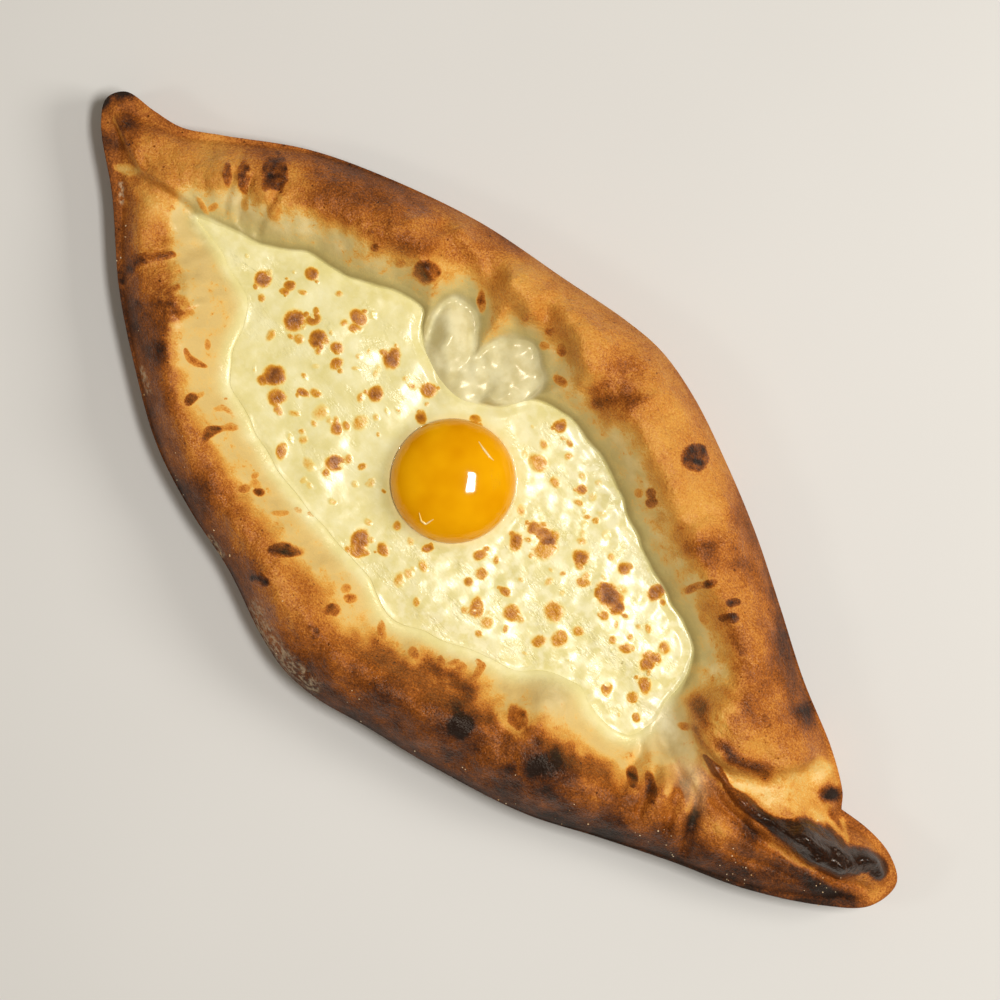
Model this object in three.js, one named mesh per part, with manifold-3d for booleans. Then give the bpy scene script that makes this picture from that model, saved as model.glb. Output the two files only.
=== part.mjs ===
// An Adjarian khachapuri: a boat of baked dough, the melted cheese that fills it and the raw egg yolk on it.
// Millimetres, +Z up. +X runs along the boat, from its plainly pinched end to its twisted end, and the origin
// is on the table under the middle of the bread. Three solids: bread, cheese, yolk.
import * as THREE from "three";
import { mergeVertices } from "three/addons/utils/BufferGeometryUtils.js";
import Module from "manifold-3d";

// Heights above the table.
const RIM_CREST = 34; // the rolled rim beside the yolk
const PINCHED_TIP_CREST = 19;
const TWISTED_TIP_CREST = 23;
const BELLY_SHARE = 0.36; // the rim is widest at this share of its crest
const WALL_FOOT = 16.8; // where the inner wall meets the cheese's edge
const CAVITY_FLOOR = 8; // top of the dough under the cheese
const CHEESE_EDGE = 17.9;
const CHEESE_LEVEL = 18.4;

// Widths seen from above.
const SHOULDER = 18; // the rim's outer shoulder rounds over within this
const WALL_REACH_FAR = 15; // the inner wall's run on the +Y side, which is the steeper one
const WALL_REACH_NEAR = 20; // and on the -Y side
const WALL_CREASE = 0.12; // the +Y wall starts this share of its way up, so it meets the cheese in a crease
const CAVITY_FLAT = 0.72; // the cavity's flat floor takes this share of the way from the spine to its edge
const UNDERCUT = 9; // the rim curls in this far below its belly
const MENISCUS = 4.5; // the cheese rounds down to its edge within this
const LAP_EDGE = 2; // half the width of the slope where a sheet of dough lies over another

// The raw yolk, which sits in a dimple of the cheese.
const YOLK = { x: -12.1, y: 2, z: 19.8, radius: 18, rise: 8.8, sink: 5.4, flatness: 2.3 };

const CLEARANCE = 0.35; // between touching solids

// How finely each solid is divided.
const RIM_ROWS = 17;
const UNDERCUT_ROWS = 4;
const CHEESE_ROWS = 5;
const YOLK_SIDES = 36;
const YOLK_ROWS = 8;
const LOOP_STEPS = 240; // chords that stand for an outline where distances are measured

// The silhouette from above: from the pinched tip along the +Y side to the twisted tip, and back along -Y.
const OUTLINE = [
  [-161.3, 9.6], [-158.6, 14.8], [-149, 16.6], [-140, 18.8], [-130, 25.5], [-110, 39.9], [-90, 49.6],
  [-60, 60.3], [-30, 66.3], [-9, 70.3], [4, 71.2], [20, 68.4], [40, 61.6], [60, 53.4], [80, 43.4], [100, 33.1],
  [120, 24.7], [131, 18.2], [136, 13.4], [141.5, 15.4], [153.5, 15], [161, 10.4], [160.2, 0.5], [149.5, -9.8],
  [130, -22.2], [110, -31.3], [90, -41.3], [70, -51.6], [40, -61.2], [20, -66.1], [4, -70.4], [-8, -71.2],
  [-20, -68.8], [-40, -62], [-60, -57.7], [-80, -51.2], [-100, -40.1], [-120, -26.8], [-140, -9.5],
  [-157.5, 3.4],
];

// The edge of the cheese from above, the same way round.
const CHEESE_OUTLINE = [
  [-117.5, 4.2], [-112, 6.5], [-97, 12], [-88, 19], [-75, 22.5], [-62, 29], [-54.5, 30.5], [-46.6, 24.5],
  [-37.2, 20.2], [-29.8, 20.2], [-24.3, 22], [-17.3, 27], [-12.6, 34], [-5.5, 38], [4, 38], [14, 37],
  [24, 33], [34, 29], [56, 21.4], [66, 19], [73, 13.8], [76, 7], [76.5, 0], [77.5, -6.5],
  [76, -12.5], [69, -16.5], [61, -15.6], [54.5, -13.6], [45.5, -18.5], [36, -25], [20, -31.5], [2, -38.8],
  [-12, -34.5], [-40, -33], [-60, -28.8], [-75, -24], [-83, -17.5], [-86, -9], [-92, -2.5], [-104, 0.8],
  [-113, 2.6],
];

// Where the ribs that join the two outlines stand, from the pinched tip to the twisted one: how many follow
// each place, then the place in OUTLINE and in CHEESE_OUTLINE on the +Y side, and the same two on the -Y side.
const RIBS = [
  [12, 0, 0, 40, 41],
  [4, 5, 2, 37.5, 38.4],
  [5, 6, 3, 36.7, 37],
  [4, 6.45, 4, 35.5, 35.6],
  [7, 7, 5, 34.2, 34],
  [5, 7.6, 8, 32.9, 32.8],
  [7, 8, 10, 32.3, 32.5],
  [8, 9, 12.5, 31.1, 31.9],
  [6, 10.8, 15, 29.6, 30.4],
  [6, 12, 17, 28, 29],
  [5, 13.2, 18.3, 27.4, 26.5],
  [22, 15, 20, 26, 24.5],
  [0, 21.5, 22, 21.5, 22],
];

// Long forms pressed into the dough or raised from it: a path, half its width and its height.
const GROOVES = [
  // the wet pocket where the cheese ends, and the valley beyond it
  { path: [[79, 2], [80.5, -3.5], [83.5, -7.5], [90, -10.5], [97, -12]], width: 3.2, lift: -5 },
  { path: [[86, -4], [93, -6.5], [101, -7.5]], width: 3.6, lift: -3 },
  // below the charred roll
  { path: [[106, -9], [118, -8], [128, -3.5], [137, -0.5], [147, 2], [153, 4]], width: 2.6, lift: -3.6 },
  // the charred roll itself
  { path: [[109, -5], [116, -3.9], [122.9, -1], [132, 2.8], [143.5, 6.2], [153, 11]], width: 3.8, lift: 7 },
];

// Edges where one sheet of dough lies over another. The sheet on the path's left is the upper one.
const LAPS = [
  // the pinched end's seam, with the +Y rim on top
  {
    path: [[-115, 4.4], [-122, 4.6], [-129.4, 3.3], [-137.5, 0.9], [-143.4, 2.4], [-151.6, 4.8], [-157, 6.8]],
    step: -5,
    reach: 5,
  },
  // the +Y rim's blunt end at the twist
  {
    path: [
      [79, 4], [85.6, 0.4], [93, -1.6], [100, -1], [105.1, 1.4], [110.1, 5], [113.9, 9.6], [116.4, 15], [119, 22],
    ],
    step: 7,
    reach: 7,
  },
  // the strip of dough that is tucked under the twisted tip
  { path: [[125, 12.4], [131, 11.4], [137, 10.6], [142, 9.4]], step: 3, reach: 3 },
];

// Wet folds of dough that lie between the cheese and the +Y wall, which starts behind them: centre,
// half-widths along and across, turn in degrees and height above the wall's foot.
const FOLDS = [
  { at: [-40.6, 29.8], size: [12.4, 7], turn: 122, lift: 3.6 },
  { at: [-23, 35.6], size: [9.8, 9.2], turn: 45, lift: 2.4 },
  { at: [-29.5, 26.6], size: [6.4, 5], turn: 20, lift: 1.8 },
];

// Round swellings (lift above 0) and dents of the dough: centre, half-widths along and across, turn in degrees.
const SWELLINGS = [
  { at: [51.5, -21], size: [8, 7], turn: 0, lift: 4.5 }, // the bubble in the -Y wall
  { at: [-98, -10.5], size: [11, 8], turn: -40, lift: 4 }, // the pale swelling near the pinched end
  { at: [92, 12], size: [13, 10], turn: 10, lift: 4 }, // the +Y rim's blunt end
  { at: [122, 13], size: [8, 6], turn: -50, lift: -4 }, // the strip past it
  { at: [146.5, 12.6], size: [5.5, 3], turn: -14, lift: 2.4 }, // the twisted tip's hump
  { at: [22, 46], size: [16, 9], turn: -20, lift: 2.4 },
  { at: [-62, 44], size: [18, 9], turn: 15, lift: 1.8 },
  { at: [-30, -52], size: [15, 9], turn: -10, lift: 2 },
  { at: [26, -50], size: [17, 9], turn: 12, lift: 2.4 },
  { at: [64, -36], size: [14, 9], turn: 20, lift: 2.2 },
  { at: [-78, -38], size: [12, 8], turn: -30, lift: 2 },
  { at: [54, 34], size: [12, 8], turn: -25, lift: 1.8 },
  { at: [3, 50], size: [7, 12], turn: 0, lift: -2.2 },
  { at: [42, 44], size: [5, 11], turn: 20, lift: -2.2 },
  { at: [-8, -54], size: [5, 12], turn: 10, lift: -2.4 },
  { at: [-55, -45], size: [5, 11], turn: 20, lift: -2 },
  { at: [46, -47], size: [5, 12], turn: -15, lift: -2.2 },
];

// The cheese's own rises and hollows.
const CHEESE_SWELLS = [
  { at: [-62, 6], size: [20, 14], turn: 10, lift: 1.1 },
  { at: [44, 6], size: [22, 14], turn: -15, lift: 1.0 },
  { at: [10, -24], size: [18, 9], turn: 0, lift: 0.8 },
  { at: [-28, -20], size: [9, 7], turn: 0, lift: -0.9 },
  { at: [20, 16], size: [9, 7], turn: 30, lift: -0.8 },
  { at: [62, -6], size: [7, 6], turn: 0, lift: -0.9 },
  { at: [-88, 8], size: [7, 6], turn: 0, lift: -0.8 },
];

const smooth = (t) => THREE.MathUtils.smoothstep(t, 0, 1);
const mix = THREE.MathUtils.lerp;
const vector = ([x, y]) => new THREE.Vector2(x, y);
const toward = (a, b, share) => a.clone().lerp(b, share);

// A smooth closed curve through the points.
function closedCurve(points) {
  return new THREE.CatmullRomCurve3(points.map(([x, y]) => new THREE.Vector3(x, y, 0)), true, "centripetal");
}

// Points at equal steps along the stretch of a curve between two of its parameters, without the last one.
function evenPoints(curve, from, to, count) {
  const fine = 40 * count;
  const dense = Array.from({ length: fine + 1 }, (_, k) => curve.getPoint(mix(from, to, k / fine)));
  const run = [0];
  for (let k = 1; k <= fine; k++) run.push(run[k - 1] + dense[k].distanceTo(dense[k - 1]));
  const points = [];
  for (let i = 0, k = 0; i < count; i++) {
    while (run[k] < (i / count) * run[fine]) k++;
    points.push(new THREE.Vector2(dense[k].x, dense[k].y));
  }
  return points;
}

// One point of the closed outline for each rib: the first is the pinched tip, the middle one the twisted tip.
// The two columns of RIBS name the outline's places on its +Y side and on its -Y side.
function ribPoints(points, farColumn, nearColumn) {
  const curve = closedCurve(points);
  const stretches = RIBS.slice(1).map((next, k) => [RIBS[k], next]);
  const run = (from, to, count) => evenPoints(curve, from / points.length, to / points.length, count);
  const farSide = stretches.map(([a, b]) => run(a[farColumn], b[farColumn], a[0]));
  const nearSide = stretches.reverse().map(([a, b]) => run(b[nearColumn], a[nearColumn], a[0]));
  return [...farSide, ...nearSide].flat();
}

// Nearest point of a path: distance, share of the path's chords before it, and the side (+1 is its left).
function nearest(path, x, y, closed = false) {
  let best = { distance: Infinity, along: 0, side: 1 };
  const last = closed ? path.length : path.length - 1;
  for (let k = 0; k < last; k++) {
    const a = path[k];
    const b = path[(k + 1) % path.length];
    const [dx, dy, px, py] = [b.x - a.x, b.y - a.y, x - a.x, y - a.y];
    const t = THREE.MathUtils.clamp((px * dx + py * dy) / (dx * dx + dy * dy), 0, 1);
    const distance = Math.hypot(px - t * dx, py - t * dy);
    const side = Math.sign(dx * py - dy * px) || 1;
    if (distance < best.distance) best = { distance, along: (k + t) / last, side };
  }
  return best;
}

const outlineRibs = ribPoints(OUTLINE, 1, 3);
const cheeseRibs = ribPoints(CHEESE_OUTLINE, 2, 4);
const outlineChords = evenPoints(closedCurve(OUTLINE), 0, 1, LOOP_STEPS);
const cheeseChords = evenPoints(closedCurve(CHEESE_OUTLINE), 0, 1, LOOP_STEPS);
const grooves = GROOVES.map((groove) => ({ ...groove, path: groove.path.map(vector) }));
const laps = LAPS.map((lap) => ({ ...lap, path: lap.path.map(vector) }));

// How far a place is from the middle of an oval, with 1 on the oval.
function ovalReach({ at, size, turn }, x, y) {
  const angle = THREE.MathUtils.degToRad(turn);
  const [dx, dy] = [x - at[0], y - at[1]];
  const along = (dx * Math.cos(angle) + dy * Math.sin(angle)) / size[0];
  const across = (dy * Math.cos(angle) - dx * Math.sin(angle)) / size[1];
  return Math.hypot(along, across);
}

const swellAt = (swelling, x, y) => swelling.lift * Math.exp(-(ovalReach(swelling, x, y) ** 2));

// How high the wet folds rise above the wall's foot, and how far a place is from them.
function foldsAt(x, y) {
  let rise = 0;
  let away = Infinity;
  for (const fold of FOLDS) {
    const reach = ovalReach(fold, x, y);
    rise = Math.max(rise, fold.lift * Math.cos((Math.min(reach, 1) * Math.PI) / 2));
    away = Math.min(away, Math.max(reach - 1, 0) * fold.size[1]);
  }
  return { rise, away };
}

function grooveAt({ path, width, lift }, x, y) {
  return lift * Math.exp(-((nearest(path, x, y).distance / width) ** 2));
}

// A lap lifts its upper side and lowers the other, and fades along both sides and at both ends.
function lapAt({ path, step, reach }, x, y) {
  const { distance, along, side } = nearest(path, x, y);
  const ends = smooth(along / 0.08) * smooth((1 - along) / 0.08);
  return (step / 2) * side * Math.tanh(distance / LAP_EDGE) * Math.exp(-distance / reach) * ends;
}

const reliefAt = (x, y) =>
  SWELLINGS.reduce((sum, swelling) => sum + swellAt(swelling, x, y), 0) +
  grooves.reduce((sum, groove) => sum + grooveAt(groove, x, y), 0) +
  laps.reduce((sum, lap) => sum + lapAt(lap, x, y), 0);

// The rim's crest falls towards both tips.
function crestAt(x) {
  const share = Math.min(1, Math.abs(x) / 161);
  return mix(RIM_CREST, x < 0 ? PINCHED_TIP_CREST : TWISTED_TIP_CREST, share ** 2.6);
}

const bellyAt = (x) => BELLY_SHARE * crestAt(x);

// The dough's top outside the cheese: an outer shoulder, less what the inner wall takes away, with its relief.
function doughTop(x, y) {
  const fromOutline = nearest(outlineChords, x, y, true).distance;
  const fromCheese = nearest(cheeseChords, x, y, true).distance;
  const crest = crestAt(x);
  const belly = bellyAt(x);
  const round = 1 - Math.min(1, fromOutline / SHOULDER);
  const shoulder = belly + (crest - belly) * Math.sqrt(1 - round * round);
  const { rise, away } = foldsAt(x, y);
  const fromFoot = Math.min(fromCheese, away);
  const far = smooth(y / 24 + 0.5);
  const reach = mix(WALL_REACH_NEAR, WALL_REACH_FAR, far);
  const crease = WALL_CREASE * far;
  const wall = (crest - WALL_FOOT) * (1 - smooth(crease + ((1 - crease) * fromFoot) / reach));
  const relief = reliefAt(x, y) * smooth(fromOutline / 5) * smooth(fromFoot / 3) + rise * smooth(fromCheese / 1.5);
  return Math.max(WALL_FOOT - 1, shoulder - wall * smooth(fromOutline / 6) + relief);
}

function cheeseTop(x, y) {
  const inside = nearest(cheeseChords, x, y, true).distance;
  const swells = CHEESE_SWELLS.reduce((sum, swell) => sum + swellAt(swell, x, y), 0);
  return mix(CHEESE_EDGE, CHEESE_LEVEL + swells, smooth(inside / MENISCUS));
}

// The line down the middle that the inner rows of bread and cheese close on. Both sides share its points.
function spineOf(loop) {
  const half = loop.length / 2;
  const middle = loop.map((point, i) => toward(point, loop[(loop.length - i) % loop.length], 0.5));
  const centre = toward(middle[0], middle[half], 0.5);
  return middle.map((point) => new THREE.Vector2(mix(centre.x, point.x, 0.82), point.y));
}

// The rim of the cavity's flat floor.
const floorOf = (edge, spine) => edge.map((point, i) => toward(spine[i], point, CAVITY_FLAT));

// A closed mesh from rings of [x, y, z] that run from the spine above, over the rim and back to the spine
// below.
function loft(rings) {
  const count = rings[0].length;
  const index = [];
  for (let j = 0; j + 1 < rings.length; j++)
    for (let i = 0; i < count; i++) {
      const [a, b] = [j * count + i, j * count + ((i + 1) % count)];
      index.push(a, b, a + count, b, b + count, a + count);
    }
  const geometry = new THREE.BufferGeometry();
  geometry.setAttribute("position", new THREE.Float32BufferAttribute(rings.flat(2), 3));
  geometry.setIndex(index);
  return mergeVertices(geometry, 1e-4);
}

const ringOf = (points, height) => points.map((point, i) => [point.x, point.y, height(point.x, point.y, i)]);

function breadGeometry() {
  const [outer, inner] = [outlineRibs, cheeseRibs];
  const spine = spineOf(inner);
  const rings = [];
  rings.push(ringOf(spine, () => CAVITY_FLOOR));
  rings.push(ringOf(floorOf(inner, spine), () => CAVITY_FLOOR));
  for (let k = 0; k < RIM_ROWS; k++) {
    const share = 1 - (1 - k / RIM_ROWS) ** 1.5;
    rings.push(ringOf(inner.map((point, i) => toward(point, outer[i], share)), doughTop));
  }
  for (let k = 0; k <= UNDERCUT_ROWS; k++) {
    const turn = (k / UNDERCUT_ROWS) * (Math.PI / 2);
    const inset = UNDERCUT * (1 - Math.cos(turn));
    const curled = outer.map((point, i) => {
      const share = Math.min(inset / point.distanceTo(spine[i]), 0.4);
      return toward(point, spine[i], share);
    });
    rings.push(ringOf(curled, (x, y, i) => bellyAt(outer[i].x) * Math.max(0, 1 - Math.sin(turn))));
  }
  rings.push(ringOf(spine, () => 0));
  return loft(rings);
}

// A closed loop of points, which runs clockwise seen from above, moved inwards.
function insetOf(loop, distance) {
  return loop.map((point, i) => {
    const [before, after] = [loop.at(i - 1), loop[(i + 1) % loop.length]];
    const inward = new THREE.Vector2(after.y - before.y, before.x - after.x).setLength(distance);
    return point.clone().add(inward);
  });
}

function cheeseGeometry() {
  const spine = spineOf(cheeseRibs);
  const inset = insetOf(cheeseRibs, CLEARANCE);
  const rings = [];
  for (let k = 0; k <= CHEESE_ROWS; k++) {
    const share = (k / CHEESE_ROWS) ** 0.7;
    rings.push(ringOf(inset.map((point, i) => toward(spine[i], point, share)), cheeseTop));
  }
  rings.push(ringOf(inset, () => WALL_FOOT + 2 * CLEARANCE));
  rings.push(ringOf(floorOf(inset, spine), () => CAVITY_FLOOR + CLEARANCE));
  rings.push(ringOf(spine, () => CAVITY_FLOOR + CLEARANCE));
  return loft(rings);
}

// The yolk is a drop that has settled: a rounder cap above its widest line and a flatter one below.
function yolkGeometry(extra = 0) {
  const profile = [];
  for (let k = -YOLK_ROWS; k <= YOLK_ROWS; k++) {
    const turn = (k / YOLK_ROWS) * (Math.PI / 2);
    const height = (k < 0 ? YOLK.sink : YOLK.rise) + extra;
    const radius = (YOLK.radius + extra) * Math.cos(turn) ** (2 / YOLK.flatness);
    profile.push(new THREE.Vector2(Math.abs(k) === YOLK_ROWS ? 0 : radius, height * Math.sin(turn)));
  }
  return new THREE.LatheGeometry(profile, YOLK_SIDES).rotateX(Math.PI / 2);
}

const wasm = await Module();
wasm.setup();

function solidOf(geometry) {
  const bare = geometry.clone();
  bare.deleteAttribute("normal");
  bare.deleteAttribute("uv");
  const merged = mergeVertices(bare, 1e-4);
  return new wasm.Manifold(
    new wasm.Mesh({
      numProp: 3,
      vertProperties: merged.attributes.position.array,
      triVerts: new Uint32Array(merged.index.array),
    }),
  );
}

function geometryOf(solid) {
  const { vertProperties, triVerts } = solid.getMesh();
  const geometry = new THREE.BufferGeometry();
  geometry.setAttribute("position", new THREE.BufferAttribute(vertProperties, 3));
  geometry.setIndex(new THREE.BufferAttribute(triVerts, 1));
  return geometry;
}

function part(name, geometry, color, roughness) {
  geometry.computeVertexNormals();
  const mesh = new THREE.Mesh(geometry, new THREE.MeshStandardMaterial({ color, roughness, metalness: 0 }));
  mesh.name = name;
  return mesh;
}

const bread = part("bread", breadGeometry(), 0xb9762f, 0.5);

const dimple = solidOf(yolkGeometry(CLEARANCE).translate(YOLK.x, YOLK.y, YOLK.z));
const cheese = part("cheese", geometryOf(solidOf(cheeseGeometry()).subtract(dimple)), 0xf2e2a0, 0.35);

const yolk = part("yolk", yolkGeometry(), 0xe59a05, 0.15);
yolk.position.set(YOLK.x, YOLK.y, YOLK.z);

const khachapuri = new THREE.Group();
khachapuri.add(bread, cheese, yolk);
export default khachapuri;
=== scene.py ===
"""The looks of an Adjarian khachapuri: a boat of baked dough with melted cheese and a raw egg yolk.

Everything is in metres, in the part's own frame: +X runs along the boat from its plainly pinched tip to its
twisted tip, +Y across it, and the table is at z = 0. The shapes follow the same outlines as the solids.
"""

import math

import bpy
import numpy as np
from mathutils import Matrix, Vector


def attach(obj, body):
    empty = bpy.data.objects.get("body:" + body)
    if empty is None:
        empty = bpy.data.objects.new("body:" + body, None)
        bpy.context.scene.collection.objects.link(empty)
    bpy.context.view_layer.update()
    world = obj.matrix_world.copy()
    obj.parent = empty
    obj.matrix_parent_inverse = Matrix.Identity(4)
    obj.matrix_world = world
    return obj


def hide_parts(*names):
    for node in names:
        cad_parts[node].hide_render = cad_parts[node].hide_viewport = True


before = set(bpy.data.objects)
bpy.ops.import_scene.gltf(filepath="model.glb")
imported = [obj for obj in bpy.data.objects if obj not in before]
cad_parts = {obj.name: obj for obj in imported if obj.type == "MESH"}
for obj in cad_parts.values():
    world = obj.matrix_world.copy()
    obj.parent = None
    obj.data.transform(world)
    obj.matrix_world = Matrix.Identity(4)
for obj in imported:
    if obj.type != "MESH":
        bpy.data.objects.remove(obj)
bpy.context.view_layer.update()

MM = 0.001

# A length too small to see, which keeps a division from meeting nothing.
TINY = 1e-9

# Heights above the table. Above CAP_START the lumps of the crest are pressed into CAP_ROOM. The crest falls
# to the tips with the power TIP_FALL of the way there, and grooves stop DEEPEST_GROOVE below the wall's foot.
RIM_CREST = 34 * MM
CAP_START = 34.4 * MM
CAP_ROOM = 1.6 * MM
PINCHED_TIP_CREST = 19 * MM
TWISTED_TIP_CREST = 23 * MM
TIP_FALL = 2.6
BELLY_SHARE = 0.36
FOOT_FAR = 17.9 * MM
FOOT_NEAR = 18.3 * MM
DEEPEST_GROOVE = 1 * MM
CAVITY_FLOOR = 8 * MM
CHEESE_LEVEL = 18.4 * MM
CHEESE_OVER_FOOT = 0.01 * MM
CLEARANCE = 0.3 * MM

# Widths seen from above. Far is the +Y side and near the -Y side.
HALF_LENGTH = 161 * MM
SIDES_BLEND = 24 * MM
SHOULDER = 18 * MM
OUTER_BLEND = 6 * MM
WALL_REACH_FAR = 15 * MM
WALL_REACH_NEAR = 20 * MM
WALL_CREASE = 0.12
UNDERCUT = 9 * MM
UNDERCUT_LIMIT = 0.4
CAVITY_FLAT = 0.72
SPINE_SHARE = 0.82
MENISCUS_FAR = 3.2 * MM
MENISCUS_NEAR = 6 * MM

# Relief fades out beside the outline and over the calm foot of the wall.
CALM_RIM = 5 * MM
CALM_FAR = 2.5 * MM
CALM_NEAR = 7 * MM
FOLD_BLEND = 1.5 * MM
LAP_EDGE = 1.0 * MM
LAP_FADE = 0.08

# The edge between the dough and the cheese: its unevenness, and how far the dough runs on under the cheese.
EDGE_WANDER = 0.3 * MM
EDGE_WANDER_SIZE = 6 * MM
EDGE_WANDER_SEED = 31
EDGE_TUCK = 0.02
EDGE_DIP = 0.4 * MM

# The yolk, and the low bank of cheese round it.
YOLK_CENTRE = Vector((-12.1, 2, 19.8)) * MM
YOLK_RADIUS = 18 * MM
YOLK_RISE = 8.8 * MM
YOLK_SINK = 5.4 * MM
YOLK_FLATNESS = 2.3
YOLK_BANK = 1.1 * MM
YOLK_BANK_WIDTH = 2.2 * MM
HOLLOW_EDGE = 0.4 * MM
MOIST_REACH = 3 * MM

# Threads of egg white on the yolk, in millimetres. A tip has a share of the radius.
YOLK_THREADS = [
    [(-14.8, 15.2), (-12.6, 14.7), (-9.5, 14.3), (-7.9, 14.4)],
    [(-12.4, -11.2), (-10.4, -12.4), (-8.8, -12.2), (-8.2, -9.6)],
]
THREAD_RADIUS = 0.34 * MM
THREAD_TIP = 0.25
THREAD_STEPS = 24
THREAD_SIDES = 8

# How finely each piece is divided. Crowding is the power that brings rows closer together at a piece's edge.
RIB_DENSITY = 7
RIM_ROWS = 62
RIM_CROWDING = 1.5
UNDERCUT_ROWS = 10
CHEESE_DENSITY = 5
CHEESE_ROWS = 96
CHEESE_CROWDING = 0.8
YOLK_SIDES = 128
YOLK_ROWS = 40
LOOP_CHORDS = 480
STEPS_PER_POINT = 40

# The silhouette from above, in millimetres, from the pinched tip along +Y to the twisted tip and back.
OUTLINE = [
    (-161.3, 9.6), (-158.6, 14.8), (-149, 16.6), (-140, 18.8), (-130, 25.5), (-110, 39.9), (-90, 49.6),
    (-60, 60.3), (-30, 66.3), (-9, 70.3), (4, 71.2), (20, 68.4), (40, 61.6), (60, 53.4), (80, 43.4),
    (100, 33.1), (120, 24.7), (131, 18.2), (136, 13.4), (141.5, 15.4), (153.5, 15), (161, 10.4),
    (160.2, 0.5), (149.5, -9.8), (130, -22.2), (110, -31.3), (90, -41.3), (70, -51.6), (40, -61.2),
    (20, -66.1), (4, -70.4), (-8, -71.2), (-20, -68.8), (-40, -62), (-60, -57.7), (-80, -51.2),
    (-100, -40.1), (-120, -26.8), (-140, -9.5), (-157.5, 3.4),
]

# The edge of the cheese, the same way round.
CHEESE_OUTLINE = [
    (-117.5, 4.2), (-112, 6.5), (-97, 12), (-88, 19), (-75, 22.5), (-62, 29), (-54.5, 30.5), (-46.6, 24.5),
    (-37.2, 20.2), (-29.8, 20.2), (-24.3, 22), (-17.3, 27), (-12.6, 34), (-5.5, 38), (4, 38), (14, 37),
    (24, 33), (34, 29), (56, 21.4), (66, 19), (73, 13.8), (76, 7), (76.5, 0), (77.5, -6.5), (76, -12.5),
    (69, -16.5), (61, -15.6), (54.5, -13.6), (45.5, -18.5), (36, -25), (20, -31.5), (2, -38.8),
    (-12, -34.5), (-40, -33), (-60, -28.8), (-75, -24), (-83, -17.5), (-86, -9), (-92, -2.5), (-104, 0.8),
    (-113, 2.6),
]

# Ribs that join the two outlines: how many follow each place, the place in OUTLINE and in CHEESE_OUTLINE
# on the +Y side, and the same two on the -Y side.
RIBS = [
    (12, 0, 0, 40, 41),
    (4, 5, 2, 37.5, 38.4),
    (5, 6, 3, 36.7, 37),
    (4, 6.45, 4, 35.5, 35.6),
    (7, 7, 5, 34.2, 34),
    (5, 7.6, 8, 32.9, 32.8),
    (7, 8, 10, 32.3, 32.5),
    (8, 9, 12.5, 31.1, 31.9),
    (6, 10.8, 15, 29.6, 30.4),
    (6, 12, 17, 28, 29),
    (5, 13.2, 18.3, 27.4, 26.5),
    (22, 15, 20, 26, 24.5),
    (0, 21.5, 22, 21.5, 22),
]

# Long forms pressed into the dough or raised from it, in millimetres: path, half width, height.
GROOVES = [
    # the wet pocket where the cheese ends, and the valley beyond it
    ([(79, 2), (80.5, -3.5), (83.5, -7.5), (90, -10.5), (97, -12)], 2.4, -5),
    ([(86, -4), (93, -6.5), (101, -7.5)], 3.4, -3),
    # below the charred roll
    ([(106, -9), (118, -8.5), (128, -6), (137, -4.6), (147, -1), (154, 3)], 1.5, -2.6),
    # furrows of the squeezed -Y rim
    ([(81, -14), (84, -26)], 1.2, -2.0),
    ([(87, -13), (92, -27)], 1.2, -2.4),
    ([(93.5, -12), (101, -25)], 1.4, -2.6),
    ([(101, -12.5), (110, -26)], 1.5, -2.6),
    # furrows of the +Y rim by the pinched tip
    ([(-114, 11), (-118.5, 20)], 1.2, -1.4),
    ([(-109.5, 12), (-114, 23)], 1.2, -1.8),
    ([(-103, 14), (-106, 26)], 1.3, -1.8),
    # the crescent behind the wet folds, and the crease between them
    (
        [(-48, 37), (-45.4, 40.2), (-41.6, 40.2), (-38.4, 37.8), (-36.2, 34.4), (-36, 31.4), (-32.4, 29)],
        1.0, -2.4,
    ),
    # the wet wall's creases
    ([(21, 37), (25, 41)], 1.2, -1.6),
    ([(33, 31), (36, 35.5)], 1.2, -1.8),
    ([(45, 28), (47, 31.5)], 1.0, -1.4),
    # the notch between the strip and the tail
    ([(138, 14), (135, 10.5), (133, 8)], 1.0, -2.4),
    # streaks of the sheet below the roll
    ([(112, -12), (122, -9.5), (131, -6.5)], 1.3, -1.5),
    ([(118, -17), (130, -12), (141, -7.5)], 1.6, -1.6),
]

# The charred roll of dough that runs out of a thin ridge at the twisted tip, in millimetres: path, half
# width at each point, and height where it is widest.
ROLL_PATH = [
    (94, -2.6), (96.5, -2.9), (99.6, -3.2), (102.8, -3.3), (105, -4.4), (110.5, -4), (115.5, -3.8),
    (119, -3.2), (125, -1.6), (129.2, 0.6), (136.3, 2.2), (143.5, 3.6), (147.5, 7.8), (150.5, 10),
    (153.4, 9.6),
]
ROLL_WIDTHS = [0.6, 1.2, 1.9, 1.0, 1.1, 2.3, 1.9, 1.8, 3.2, 5.2, 6.4, 5.2, 3.9, 2.8, 3.2]
ROLL_RISE = 8

# How charred the roll's thin start is, where its char deepens, and over what length.
THIN_CHAR = 0.76
CHAR_START = 106 * MM
CHAR_BLEND = 14 * MM

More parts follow.
